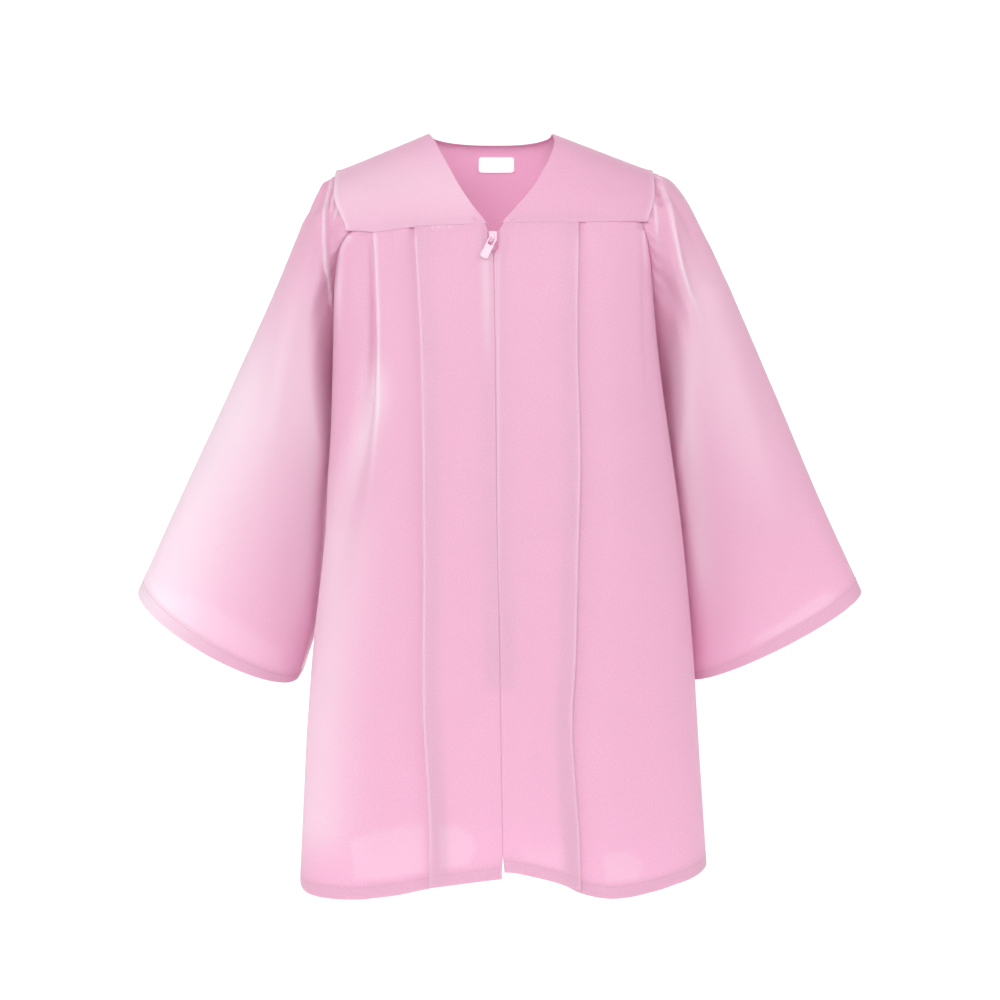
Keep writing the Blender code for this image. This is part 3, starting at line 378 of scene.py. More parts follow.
def edge_turn(side, height, front):
    """The turn at which a front or back panel ends: on the armhole, and below it on the side seam."""
    height = np.asarray(height, float)
    hole = ARMHOLE(side, armhole_turn(height, front))
    return turn_at_depth(height, np.where(height > ARMPIT_HEIGHT, hole, SIDE_SEAM_DEPTH))


def unit(vectors):
    return vectors / np.maximum(np.linalg.norm(vectors, axis=-1, keepdims=True), 1e-12)


def outward(points, middle=GOWN_INSIDE):
    """The unit normal at each point of a grid, away from a point inside the gown."""
    normal = unit(np.cross(np.gradient(points, axis=0), np.gradient(points, axis=1)))
    return normal * np.sign(((points - np.array(middle)) * normal).sum(-1, keepdims=True))


def rolled(points, edge, middle=GOWN_INSIDE):
    """The grid with one edge rolled in: 0 its first row, 1 its last, 2 its first column, 3 its last."""
    grid = points if edge < 2 else points.transpose(1, 0, 2)
    grid = grid[::-1] if edge % 2 == 0 else grid
    on = unit(grid[-1] - grid[-2])
    inward = -outward(grid, middle)[-2]
    bends = np.radians(np.linspace(0, ROLL_SWEEP, ROLL_STEPS)[1:])[:, None, None]
    grid = np.concatenate([grid, grid[-1] + ROLL * (on * np.sin(bends) + inward * (1 - np.cos(bends)))])
    grid = grid[::-1] if edge % 2 == 0 else grid
    return grid if edge < 2 else grid.transpose(1, 0, 2)


def hemmed(outer, inner):
    """outer, turned at its last row on to inner's rows, which go back up from there."""
    down = unit(outer[-1] - outer[-2])
    middle, half = (outer[-1] + inner[-1]) / 2, (outer[-1] - inner[-1]) / 2
    bends = np.radians(np.linspace(0, 180, HEM_STEPS)[1:-1])[:, None, None]
    fold = middle + half * np.cos(bends) + down * HEM_ROLL * np.sin(bends)
    return np.concatenate([outer, fold, inner[::-1][:HEM_WIDTH_ROWS]])


def near_course(places, course):
    """(how far each place is from a course of straight lines, its share of the way along the course,
    whether it lies to the right of it: 1, or -1 to the left)."""
    course = np.array(course, float)
    lengths = norm(np.diff(course, axis=0))
    nearest = np.full(places.shape[:-1], np.inf)
    share, right = np.zeros(places.shape[:-1]), np.zeros(places.shape[:-1])
    done = 0.0
    for start, end, length in zip(course, course[1:], lengths):
        line = end - start
        along = np.clip(((places - start) @ line) / length**2, 0, 1)
        off = norm(places - start - along[..., None] * line)
        closer = off < nearest
        nearest = np.where(closer, off, nearest)
        share = np.where(closer, (done + along * length) / lengths.sum(), share)
        turn = line[1] * (places[..., 0] - start[0]) - line[0] * (places[..., 1] - start[1])
        right = np.where(closer, np.sign(turn), right)
        done += length
    return nearest, share, right


# ---- Fine creases. Each has its height (a trough is negative), its width to each side, the shares of
# its course over which it rises and fades, its course as seen from the front, across and up, and the
# side to which it leans. ----

Crease = namedtuple("Crease", "height width rise fade course lean", defaults=[0])


def crease(height, width, rise, fade, *course, lean=0):
    """A crease from its sizes in millimetres."""
    return Crease(height / 1000, width / 1000, rise, fade, np.array(course) / 1000, lean)


LEAN_DIP, LEAN_REACH = 0.55, 1.7  # of the trough beside a crease that leans to one side
PANEL_CREASES = {
    "right": (
        crease(1.2, 4, 0.05, 0.6, (95.8, -84), (92, -98), (92.5, -150), (91.5, -200)),
        crease(1, 3, 0.02, 0.5, (79, -83), (77.5, -95), (77.2, -125)),
        crease(-0.8, 3.5, 0.02, 0.6, (105, -85), (104, -105), (104.5, -150)),
        crease(1.6, 3.5, 0.02, 0.5, (113.5, -86), (121.5, -95), (123.5, -130), (124, -180)),
        crease(1.2, 18, 0.3, 0.5, (98, -250), (108, -350), (113, -440), (120, -540)),
        crease(-1, 16, 0.3, 0.5, (80, -300), (87, -400), (90, -500)),
        crease(0.9, 14, 0.4, 0.4, (26, -240), (30, -350), (24, -470)),
        crease(-0.7, 10, 0.4, 0.4, (42, -150), (38, -260), (40, -360)),
    ),
    "left": (
        crease(0.9, 3.5, 0.05, 0.6, (110, -79), (111, -95), (112.5, -140)),
        crease(1.4, 3, 0.02, 0.4, (114.5, -82), (116, -100), (117.2, -118)),
        crease(1, 20, 0.3, 0.5, (96, -220), (104, -330), (116, -450), (124, -560)),
        crease(-1, 16, 0.3, 0.5, (82, -260), (88, -380), (96, -500)),
        crease(0.8, 12, 0.4, 0.5, (30, -180), (34, -300), (32, -420)),
        crease(-0.8, 12, 0.4, 0.3, (46, -380), (42, -470), (38, -560)),
    ),
}
BACK_CREASES = (
    crease(1.4, 4, 0.03, 0.6, (12, -108), (14, -150), (20, -230)),
    crease(1.2, 3.5, 0.03, 0.6, (-28, -108), (-31, -140), (-36, -200)),
    crease(1.2, 4.5, 0.03, 0.6, (56, -108), (60, -160), (68, -240)),
    crease(-1, 5, 0.03, 0.6, (-62, -108), (-67, -170), (-74, -260)),
    crease(1, 16, 0.3, 0.5, (-90, -240), (-104, -380), (-112, -520)),
    crease(-1.2, 15, 0.3, 0.5, (94, -200), (106, -340), (112, -480)),
)
YOKE_CREASES = {
    "right": (
        crease(0.6, 6, 0.3, 0.5, (118, -40), (104, -52), (82, -60)),
        crease(-0.6, 7, 0.3, 0.5, (70, -20), (66, -40), (52, -60)),
        crease(0.5, 5, 0.2, 0.6, (108, -82), (98, -74), (84, -66)),
    ),
    "left": (
        crease(0.7, 6, 0.3, 0.5, (52, -12), (62, -26), (80, -40)),
        crease(-0.6, 6, 0.3, 0.5, (116, -40), (100, -50), (84, -50)),
        crease(0.5, 5, 0.2, 0.6, (104, -76), (92, -68), (78, -62)),
    ),
}
SLEEVE_CREASES = {
    "right": {
        FRONT: (
            crease(3.4, 1.7, 0.06, 0.25, (124, -37), (129, -43), (133.2, -57), (134.6, -72), (135, -89),
                (134.2, -103), (132, -119), (129, -142), (125.6, -160), lean=-1),
            crease(2.4, 1.4, 0.1, 0.5, (126, -48), (129, -60), (130, -74)),
            crease(2.2, 1.6, 0.05, 0.6, (122.5, -62), (126.2, -70), (129.5, -79)),
            crease(1.4, 4, 0.1, 0.7, (133, -40), (148, -72), (156, -125)),
            crease(1.4, 15, 0.3, 0.5, (190, -190), (208, -280), (224, -370)),
        ),
        BACK: (
            crease(2.4, 2.2, 0.08, 0.6, (126, -50), (132, -75), (135, -110)),
            crease(-1.2, 12, 0.3, 0.5, (170, -190), (188, -290), (200, -380)),
        ),
    },
    "left": {
        FRONT: (
            crease(2.8, 2, 0.06, 0.6, (124, -40), (130, -48), (134.5, -64), (139, -87), (144, -110),
                (150.5, -130), (157, -142), (164, -170), lean=1),
            crease(2.4, 1.5, 0.05, 0.5, (121.5, -33.5), (127, -38), (133, -43)),
            crease(1.6, 1.6, 0.1, 0.6, (123.2, -56), (125.2, -78), (126.2, -100)),
            crease(1.2, 4, 0.1, 0.6, (129, -40), (142, -60), (152, -100)),
            crease(1.4, 15, 0.3, 0.5, (196, -190), (216, -280), (232, -370)),
        ),
        BACK: (
            crease(2.4, 2.2, 0.08, 0.6, (124, -50), (131, -75), (135, -115)),
            crease(-1.2, 12, 0.3, 0.5, (172, -190), (190, -290), (204, -380)),
        ),
    },
}
CREASE_FACING, CREASE_START = 5, 0.02  # how fast a sleeve's crease ends at its edge and starts at its head


def creases(places, listed):
    """How far out the listed creases take the cloth at each place."""
    out = np.zeros(places.shape[:-1])
    for each in listed:
        off, share, right = near_course(places, each.course)
        strength = smooth(share / each.rise) * (1 - smooth((share - 1 + each.fade) / each.fade))
        form = np.exp(-((off / each.width) ** 2))
        if each.lean:
            beyond = np.where(right * each.lean > 0, off, 0) / each.width
            form = form - LEAN_DIP * beyond**2 * np.exp(-((beyond / LEAN_REACH) ** 2))
        out = out + each.height * form * strength
    return out


# ---- Painted highlights: the cloth's colour is mixed towards a pale pink along pleat edges, fold crests, the yokes' welts and the zip's edges, in broad bands where the cloth turns towards the light, and in patches over the hems where a single layer hangs against the light behind it. A line is a crease whose height is how strongly it is painted, 0 to 1.

Patch = namedtuple("Patch", "height outline")
PATCH_EDGE = 0.0020  # over which a patch fades at its outline
PALE_INSIDE = 0.0006  # from a knife pleat's edge to the pale line along it
PUCKER_HIGHLIGHTS = (50.5, 45.2, 41.8, 37.1)  # where painted highlights mark the puckers under the right yoke that catch the light


def pale_line(paleness, width, rise, fade, *course):
    """A painted highlight line from its sizes in millimetres."""
    return Crease(paleness, width / 1000, rise, fade, np.array(course) / 1000)


def pale_area(paleness, *outline):
    """A painted highlight patch from its outline in millimetres."""
    return Patch(paleness, np.array(outline) / 1000)


def patch(places, outline):
    """1 within an outline, fading at its edge, and 0 outside."""
    outline = np.array(outline, float)
    off, _, _ = near_course(places, np.concatenate([outline, outline[:1]]))
    inside = np.zeros(places.shape[:-1], bool)
    for start, end in zip(outline, np.roll(outline, -1, axis=0)):
        spans = (start[1] > places[..., 1]) != (end[1] > places[..., 1])
        rise = (end[1] - start[1]) or 1
        crossing = start[0] + (end[0] - start[0]) * (places[..., 1] - start[1]) / rise
        inside ^= spans & (places[..., 0] < crossing)
    return smooth(0.5 + np.where(inside, off, -off) / (2 * PATCH_EDGE))


def pleat_edge(side):
    """The course of the painted highlight line along a knife pleat's edge, from the yoke down."""
    rows = PLEAT.rows[::-1]
    return together(rows[:, PLEAT.columns.index(side)] - PALE_INSIDE, rows[:, 0])


def soft_edge(side, count):
    """The course of a soft pleat's edge through its uppermost rows, from the yoke down."""
    height, across, _, width = SOFT_PLEAT[side].rows[-count:][::-1].T
    return together(across - SOFT_EDGE * SOFT_SHARP * width, height)


# Painted highlights on each piece: lines along pleat, zip and armhole edges and fold crests, broad bands
# where the cloth turns to the light, and patches of light through a single layer over the hems.
PAINTED_HIGHLIGHTS = {
    "panel_right": (
        Crease(0.45, 0.001, 0.01, 0.1, pleat_edge("right")),
        Crease(0.75, 0.0013, 0.03, 0.6, soft_edge("right", 4)),
        pale_line(0.45, 3.4, 0.05, 0.7, (9, -98), (8, -150), (7, -210)),
        pale_line(0.5, 2.6, 0.02, 0.5, (113, -86), (120.5, -93), (123.2, -110), (123.8, -170)),
        pale_line(0.65, 11, 0.3, 0.5, (92.5, -170), (94.5, -215), (104, -250), (112.5, -278), (119, -310)),
        pale_line(0.6, 28, 0.25, 0.15, (121.7, -247), (127.8, -339), (136, -446), (144, -590)),
        *(pale_line(0.7, 0.8, 0.2, 0.5, (at, -80), (at - 0.6, -83.8)) for at in PUCKER_HIGHLIGHTS),
        pale_area(0.2, (55, -539.5), (75, -542.5), (95, -547), (112, -554.5), (109, -584), (85, -581.5),
            (55, -576)),
        pale_area(0.19, (16, -558), (19, -547), (30, -540), (44, -541), (43, -573), (21, -570)),
    ),
    "panel_left": (
        Crease(0.3, 0.001, 0.01, 0.1, pleat_edge("left")),
        pale_line(0.3, 0.9, 0.02, 0.1, (1.2, -100), (1.2, -200), (1.2, -430)),
        pale_line(0.35, 1.2, 0.02, 0.4, (114, -80), (115.5, -100), (117, -118)),
        pale_area(0.1, (18, -556), (52, -556), (54, -575.5), (18, -567)),
        pale_area(0.18, (81, -564), (99, -561), (111, -569), (109, -583), (83, -584)),
    ),
    "yoke_right": (
        pale_line(0.42, 34, 0.05, 0.1, (140, -56), (83, -46), (10, -46)),
    ),
    "sleeve_right": (
        pale_line(1.0, 64, 0.45, 0.02, (150, -64), (187.5, -149), (219, -217), (255, -293), (287.5, -364),
            (310, -420)),
        pale_line(0.3, 10, 0.2, 0.3, (135, -180), (140, -240), (148, -330), (157, -410)),
        pale_area(0.12, (275, -364), (240, -370), (206, -388), (172, -411), (172, -425.5), (206, -414),
            (240, -396), (275, -370)),
    ),
    "sleeve_left": (
        pale_line(0.38, 24, 0.2, 0.5, (144.2, -80.4), (160, -135.6), (183.6, -214.4), (215.1, -293.2),
            (240, -345)),
        pale_line(0.55, 13, 0.2, 0.3, (138, -140), (145, -220), (156, -320), (166, -410)),
        pale_area(0.22, (203, -404), (230, -385), (251, -370), (270, -364), (266, -374.5), (251, -383.5),
            (230, -395), (203, -408)),
    ),
}
FRONT_DEPTH = {"panel": 0.005, "yoke": 0.005, "sleeve": 0.035}  # what lies behind this gets no painted highlight
FRONT_FADES = 0.015
SLEEVE_HIGHLIGHT, SLEEVE_HIGHLIGHT_WIDTH = 0.75, 0.9  # of the painted highlight along each crest higher than this:
SLEEVE_NARROW = 0.0015
WELT_HIGHLIGHT = (0.42, 0.0010, 0.03, 0.03)  # the painted highlight along a front yoke's edge, as a crease's


def sleeve_crest_highlights(side):
    """The painted highlights on a sleeve's front, along the crests of its narrow folds."""
    return [
        crest._replace(height=SLEEVE_HIGHLIGHT, width=crest.width * SLEEVE_HIGHLIGHT_WIDTH, lean=0)
        for crest in SLEEVE_CREASES[side][FRONT]
        if crest.height > SLEEVE_NARROW
    ]


def paler(points, listed, behind):
    """How strongly the listed lines and patches paint highlights into the cloth at each place of a grid, in
    front only.
    """
    places = together(np.abs(points[..., 0]), points[..., 2])
    pale = creases(places, [line for line in listed if isinstance(line, Crease)])
    for area in listed:
        if isinstance(area, Patch):
            pale = pale + area.height * patch(places, area.outline)
    return np.clip(pale, 0, 1) * smooth((behind - points[..., 1]) / FRONT_FADES)


# ---- The pieces' forms ----


def panel_turns(side, level):
    """Each column's turn on a front panel at some level, from the zip to the side."""
    pleat = PLEAT(side, level)
    top = turn_across(side, level, pleat * TOP_SHARES)
    first = turn_across(side, level, pleat - PLEAT_UNDERLAP)
    folds = np.repeat([top[-1], first], FOLD_STEPS)
    return np.concatenate([top, folds, first + (edge_turn(side, level, front=True) - first) * UNDER_SHARES])


def front_panel(side, sink=0.0):
    """Grid of a front panel, from under the yoke to the hem and from the zip to the side seam."""
    seam_across = on_body(side, YOKE_LEVEL, panel_turns(side, YOKE_LEVEL))[:, 0]
    seam = YOKE_SEAM("height", seam_across)
    hem = HEM(side, np.degrees(panel_turns(side, HEM_LEVEL)))
    height = seam + TUCK + (hem - seam - TUCK) * PANEL_ROWS[:, None]
    edge = PLEAT(side, height)
    start = body("centre", height) * SIDES[side] + OPENING.straight(side, height)
    radius, bend = PLEAT_RADIUS, np.radians(np.linspace(0, 180, FOLD_STEPS + 1))
    under = len(TOP_SHARES) + FOLD_STEPS
    top, rest = slice(0, len(TOP_SHARES)), slice(under + FOLD_STEPS, None)
    turn_in, turn_out = slice(len(TOP_SHARES), under), slice(under, under + FOLD_STEPS)
    across, out = np.zeros_like(height), np.zeros_like(height)
    across[:, top] = start[:, top] + (edge[:, top] - PLEAT_ROUND - start[:, top]) * TOP_SHARES
    across[:, turn_in] = edge[:, turn_in] - PLEAT_ROUND + PLEAT_ROUND * np.sin(bend[1:])
    below_seam = smooth((seam[under] - height[:, under : under + 1]) / CREST_START)
    sway = CREST_SWAY * np.sin(CREST_SWAY_RATE * height[:, under : under + 1])
    crest = PLEAT_CREST * below_seam * (1 + sway)
    drop = crest / 2 + radius
    out[:, turn_in] = crest - drop + drop * np.cos(bend[1:])
    to_edge = edge[:, top] - PLEAT_ROUND - across[:, top]
    out[:, top] = crest * np.exp(-((to_edge / PLEAT_CREST_WIDTH) ** 2))
    across[:, turn_out] = edge[:, turn_out] - PLEAT_UNDERLAP + radius - radius * np.sin(bend[:-1])
    out[:, turn_out] = radius - PLEAT_LOW + radius * np.cos(bend[:-1])
    turns = turn_across(side, height, across)
    first = turn_across(side, height[:, rest], edge[:, rest] - PLEAT_UNDERLAP + radius)
    last = edge_turn(side, height[:, -1:], front=True)
    turns[:, rest] = past_soft_pleat(side, height[:, rest], first, last)
    place = np.abs(on_body(side, height[:, rest], turns[:, rest])[..., 0])
    below = smooth((seam[rest] - height[:, rest]) / EASE_GROWS)
    ease = EASE_AT_SEAM + (PLEAT_EASE - EASE_AT_SEAM) * below
    out[:, rest] = -PLEAT_LOW * (1 - smooth((place - edge[:, rest]) / ease))
    before_side = smooth((last - turns[:, rest]) / SIDE_EASE)
    out[:, rest] += soft_pleat(side, height[:, rest], place) * before_side
    from_start = across[:, top] - start[:, top]
    into_roll = np.clip(1 - from_start / EDGE_ROLL, 0, 1)
    out[:, top] -= EDGE_ROLL * (1 - np.sqrt(1 - into_roll**2)) * EDGE_ROLL_DEPTH
    fading = 1 - smooth((YOKE_LEVEL - height[:, top]) / RIDGE_END)
    out[:, top] += RIDGE_HEIGHT * np.exp(-(((from_start - RIDGE_AT) / RIDGE_WIDTH) ** 2)) * fading
    flat = on_body(side, height, turns)
    places = together(np.abs(flat[..., 0]), height)
    below = np.maximum(seam + PUCKER_START - height, 0)
    aside = places[..., 0]
    uneven = PUCKER_UNEVEN * np.sin(PUCKER_UNEVEN_RATE * aside)
    pucker = PUCKER_HEIGHT * np.sin(2 * math.pi * aside / PUCKER_PITCH + uneven)
    out += pucker * np.exp(-below / PUCKER_REACH) * smooth(aside / PUCKER_FREE)
    out += creases(places, PANEL_CREASES[side]) - sink
    points = on_body(side, height, turns, out)
    to_seam = norm(points - points[:, -1:])
    to_seam[:, : under + FOLD_STEPS] = 1
    groove = SEAM_VALLEY * np.exp(-((to_seam / SEAM_WIDTH) ** 2))
    return on_body(side, height, turns, out - groove)


def past_soft_pleat(side, height, first, last):
    """Turns from first to last, with columns held to both sides of the soft pleat's step."""
    at, width = (SOFT_PLEAT[side](c, height) for c in ("across", "width"))
    ends = [first, turn_across(side, height, at - width / 2), turn_across(side, height, at + width)]
    turns = np.stack([*ends, np.broadcast_to(last, height.shape)])
    by_column = []
    for column, share in enumerate(UNDER_SHARES):
        knot = min(np.searchsorted(SOFT_KNOTS, share, side="right"), 3)
        low, high = SOFT_KNOTS[knot - 1], SOFT_KNOTS[knot]
        part = (share - low) / (high - low)
        by_column.append(turns[knot - 1, :, column] * (1 - part) + turns[knot, :, column] * part)
    return np.stack(by_column, axis=1)


def soft_pleat(side, height, across):
    """How far in a front panel's soft pleat takes the cloth."""
    step, width, at = (SOFT_PLEAT[side](wanted, height) for wanted in ("step", "width", "across"))
    width = width * (SOFT_SHARP + (1 - SOFT_SHARP) * smooth((SOFT_LOOSE - height) / SOFT_LOOSENS))
    step = SOFT_KEEP * step * (SOFT_FIRST + (1 - SOFT_FIRST) * smooth((YOKE_LEVEL - height) / SOFT_GROWS))
    beyond = (across - at) / width
    below_yoke = smooth((YOKE_LEVEL - height) / SOFT_START)
    ridge = SOFT_RIDGE * step * np.exp(-((beyond + SOFT_EDGE) ** 2)) * below_yoke
    return ridge - step * smooth(beyond) * (1 - smooth((beyond - 1) / SOFT_RECOVER))


def back_panel(sink=0.0):
    """Grid of the back panel, from the right side seam to the left, under the back yoke to the hem."""
    halves = []
    for side, sign in SIDES.items():
        foot = edge_turn(side, HEM_LEVEL, front=False)
        hem = HEM(side, np.degrees(foot + (math.pi - foot) * BACK_SHARES))
        height = BACK_YOKE_HEIGHT + TUCK + (hem - BACK_YOKE_HEIGHT - TUCK) * BACK_ROWS[:, None]
        first = edge_turn(side, height[:, :1], front=False)
        turns = first + (math.pi - first) * BACK_SHARES
        depth = FLUTES("depth", height)
        sway = FLUTE_SWAY * np.sin(FLUTE_SWAY_RATE * height + sign)
        phase = (BACK_SHARES - 1) * FLUTE_COUNT * math.pi + sway
        out = depth * (np.cos(phase) - 1) * smooth(BACK_SHARES / FLUTE_FADE)
        places = together(on_body(side, height, turns)[..., 0], height)
        below = np.maximum(BACK_YOKE_HEIGHT - height, 0)
        pucker = BACK_PUCKER * np.sin(2 * math.pi * places[..., 0] / PUCKER_PITCH)
        out = out + pucker * np.exp(-below / PUCKER_REACH) + creases(places, BACK_CREASES) - sink
        points = on_body(side, height, turns, out)
        to_seam = norm(points - points[:, :1])
        points = on_body(side, height, turns, out - SEAM_VALLEY * np.exp(-((to_seam / SEAM_WIDTH) ** 2)))
        points[0] *= [1, BACK_TUCK, 1]
        halves.append(points)
    return np.concatenate([halves[0], halves[1][:, -2::-1]], axis=1)


def front_yoke(side):
    """Grid of a front yoke, from the shoulder seam to its lower edge and from the neck to the armhole."""
    sign = SIDES[side]
    corner_height = yoke_corner_height(side)
    reach = np.linspace(0, 1, YOKE_STEPS)[:, None]
    fall = reach**SHOULDER_ROUND
    across = np.linspace(0, 1, YOKE_STEPS)
    low_across = sign * (YOKE_SEAM_START + YOKE_SEAM_REACH * across)
    low = YOKE_SEAM("height", low_across)
    edge_height = SHOULDER_HEIGHT + (corner_height - SHOULDER_HEIGHT) * fall[:, 0]
    edge = armhole(side, armhole_turn(edge_height, front=True))
    ridge_height = NECK_POINT_HEIGHT + (SHOULDER_HEIGHT - NECK_POINT_HEIGHT) * across
    height = ridge_height + (low - ridge_height) * fall
    neck = NECK(side, NECK_POINT_HEIGHT + (low[0] - NECK_POINT_HEIGHT) * fall)
    x = neck + (np.abs(edge[:, :1]) - neck) * across
    foot = on_body(side, low, turn_across(side, low, x[-1]))[:, 1]
    ridge = edge[0, 1] * across
    y = ridge + (foot - ridge) * reach
    points = together(sign * x, y, height)
    points += (edge - points[:, -1])[:, None] * across[:, None] ** FRONT_SETTLE
    foot_share = smooth((reach - YOKE_SETTLES) / (1 - YOKE_SETTLES))
    past_pleat = x - PLEAT(side, YOKE_LEVEL)
    lower = PLEAT_LOW * smooth(past_pleat / PLEAT_LIFT) * (1 - smooth(past_pleat / EASE_AT_SEAM))
    settle = (YOKE_SETTLE + lower) * foot_share * (1 - across**WELT_NARROW)
    out = LAP - settle + YOKE_WELT * across**WELT_NARROW
    out = out + creases(together(x, height), YOKE_CREASES[side])
    points = points + outward(points) * out[..., None]
    points[:, -1, 0] += sign * YOKE_OVERHANG
    return points


def back_yoke():
    """Grid of the back yoke, from the shoulder seams and the back neck to its lower edge."""
    reach = np.linspace(0, 1, YOKE_STEPS)[:, None]
    fall = reach**SHOULDER_ROUND
    halves = []
    for side, sign in SIDES.items():
        edge_height = SHOULDER_HEIGHT + (BACK_YOKE_HEIGHT - SHOULDER_HEIGHT) * fall[:, 0]
        edge = armhole(side, armhole_turn(edge_height, front=False))
        neck_point = NECK(side, NECK_POINT_HEIGHT)
        seam_share = np.linspace(0, 1, SHOULDER_STEPS)  # from the armhole to the neck point
        round_neck = np.linspace(0, math.pi / 2, NECK_STEPS)[1:]
        tip = SHOULDER_HALF_WIDTH[side]
        shoulder = together(
            tip + (neck_point - tip) * seam_share,
            edge[0, 1] * (1 - seam_share),
            SHOULDER_HEIGHT + (NECK_POINT_HEIGHT - SHOULDER_HEIGHT) * seam_share,
        )
        neck = together(
            neck_point * np.cos(round_neck) ** BACK_NECK_ROUND,
            BACK_NECK_DEPTH * np.sin(round_neck),
            NECK_POINT_HEIGHT + (BACK_NECK_HEIGHT - NECK_POINT_HEIGHT) * np.sin(round_neck),
        )
        top = np.concatenate([shoulder, neck])
        share = np.linspace(1, 0, len(top))
        low = np.full_like(share, BACK_YOKE_HEIGHT)
        half_depth, square = half_and_square(low, False)
        x_low = abs(edge[-1, 0]) * share
        deep = (1 - np.clip(x_low / body(side, low), 0, 1) ** square) ** (1 / square)
        y_low = body("widest", low) + half_depth * deep
        x = top[:, 0] + (x_low - top[:, 0]) * smooth(reach)
        y = top[:, 1] + (y_low - top[:, 1]) * reach
        z = top[:, 2] + (low - top[:, 2]) * fall
        points = together(sign * x, y, z)
        points += (edge - points[:, 0])[:, None] * share[:, None] ** BACK_SETTLE
        halves.append(points)
    points = np.concatenate([halves[0], halves[1][:, -2::-1]], axis=1)
    from_side = np.abs(np.linspace(-1, 1, points.shape[1]))[:, None]
    points = points + outward(points) * (LAP + YOKE_WELT * from_side**WELT_NARROW)
    points[:, 0, 0] -= YOKE_OVERHANG
    points[:, -1, 0] += YOKE_OVERHANG
    return points


def sleeve(side, sink=0.0):
    """Grid of a sleeve's rings, from the armhole to the hem; its last column meets its first."""
    sign = SIDES[side]
    share = SLEEVE_ROWS[:, None]
    turn = np.radians(SLEEVE_TURNS)

    def at(wanted):
        return SLEEVE[side](wanted, share)

    hole = armhole(side, SLEEVE_TURNS)
    near = (1 + np.cos(turn)) / 2  # 1 on the outer edge, 0 on the inner
    x = at("inner") + (at("outer") - at("inner")) * near
    z = at("inner_height") + (at("outer_height") - at("inner_height")) * near
    z = z - at("drop") * np.maximum(np.sin(turn), 0) + at("rise") * np.maximum(-np.sin(turn), 0)
    squared = np.sign(np.sin(turn)) * np.abs(np.sin(turn)) ** SLEEVE_SQUARE
    y = hole[:, 1] + (at("middle") - at("half") * squared - hole[:, 1]) * smooth(share / DEPTH_BLEND)
    straight_edge = at("inner")[0] + (at("outer")[0] - at("inner")[0]) * near
    x = x + (np.abs(hole[:, 0]) - straight_edge) * (1 - smooth(share / ACROSS_BLEND))
    points = together(sign * (x + SLEEVE_CLEAR), y, z)
    away = unit(points - points[:, :-1].mean(axis=1, keepdims=True))
    points = points + away * (sleeve_folds(side, share, points) - sink)[..., None]
    points[:, -1] = points[:, 0]
    return points


def sleeve_folds(side, share, points):
    """How far out the sleeve's gathers, long folds and creases take the cloth."""
    from_seam = smooth(share / FOLD_START)
    head = np.abs((SLEEVE_TURNS + 180) % 360 - 180)
    gathers = GATHER_DEPTH * np.cos(np.radians(SLEEVE_TURNS) * GATHER_COUNT)
    round_head = 1 - smooth((head - GATHER_SPREAD) / GATHER_FADE)
    out = gathers * round_head * from_seam * (1 - smooth(share / GATHER_END))
    places = points[..., [0, 2]] * [SIDES[side], 1]
    facing = np.sin(np.radians(SLEEVE_TURNS))
    tucks = TUCK_DEPTH * np.cos(np.radians(SLEEVE_TURNS) * TUCK_COUNT) * round_head
    out = out + tucks * np.exp(-((share / TUCK_END) ** 2)) * smooth(share / TUCK_START)
    for long in SLEEVE_FOLDS[side]:
        off, along, _ = near_course(places, long.course)
        off = off / long.width
        crest = np.exp(-off * off) - FOLD_VALLEY * np.exp(-((off / FOLD_VALLEY_WIDTH) ** 2))
        crest = crest * (1 - smooth((along - FOLD_FULL) / (1 - FOLD_FULL)))
        out = out + long.depth * crest / (1 - FOLD_VALLEY) * (facing * long.half < 0) * from_seam
    for half, listed in SLEEVE_CREASES[side].items():
        shown = smooth(-facing * half * CREASE_FACING) * smooth(share / CREASE_START)
        out = out + creases(places, listed) * shown
    return out


# ---- Meshes ----


def mesh_of(name, points, faces, finish):
    mesh = bpy.data.meshes.new(name)
    mesh.from_pydata(points, [], faces)
    mesh.shade_smooth()
    mesh.materials.append(finish)
    return mesh


def placed(name, data):
    """An object in the scene with some data."""
    made = bpy.data.objects.new(name, data)
    bpy.context.scene.collection.objects.link(made)
    return made


def shell(name, points, finish, slot, node, wall=WALL, loop=False, pale=(), kind="panel"):
    """A thin wall of cloth whose middle follows a grid of points, with its weave laid along the grid."""
    rows, columns = points.shape[:2]
    count = columns - 1 if loop else columns
    index = np.arange(rows * count).reshape(rows, count)
    left, right = (index, np.roll(index, -1, axis=1)) if loop else (index[:, :-1], index[:, 1:])
    faces = together(left[:-1], right[:-1], right[1:], left[1:]).reshape(-1, 4)
    mesh = mesh_of(name, points[:, :count].reshape(-1, 3).tolist(), faces.tolist(), finish)
    wide = norm(np.diff(points, axis=1)).mean(axis=0)
    long = norm(np.diff(points, axis=0)).mean(axis=1)
    u, v = (np.concatenate([[0], np.cumsum(step)]) for step in (wide, long))
    corners = [
        np.stack(np.meshgrid(u_part, v_part), axis=-1)
        for u_part, v_part in ((u[:-1], v[:-1]), (u[1:], v[:-1]), (u[1:], v[1:]), (u[:-1], v[1:]))
    ]
    mesh.uv_layers.new(name="cloth").data.foreach_set("uv", np.stack(corners, axis=2).ravel())
    # Painted highlights, kept on the mesh for the cloth's finish to mix in.
    shown = paler(points[:, :count], pale, FRONT_DEPTH[kind])
    mesh.attributes.new("pale", "FLOAT", "POINT").data.foreach_set("value", shown.ravel())
    made = placed(name, mesh)
    thick = made.modifiers.new("Wall", "SOLIDIFY")
    thick.thickness = wall
    thick.offset = 0
    thick.use_quality_normals = True
    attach(made, "gown")
    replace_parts(made, node)
    return made


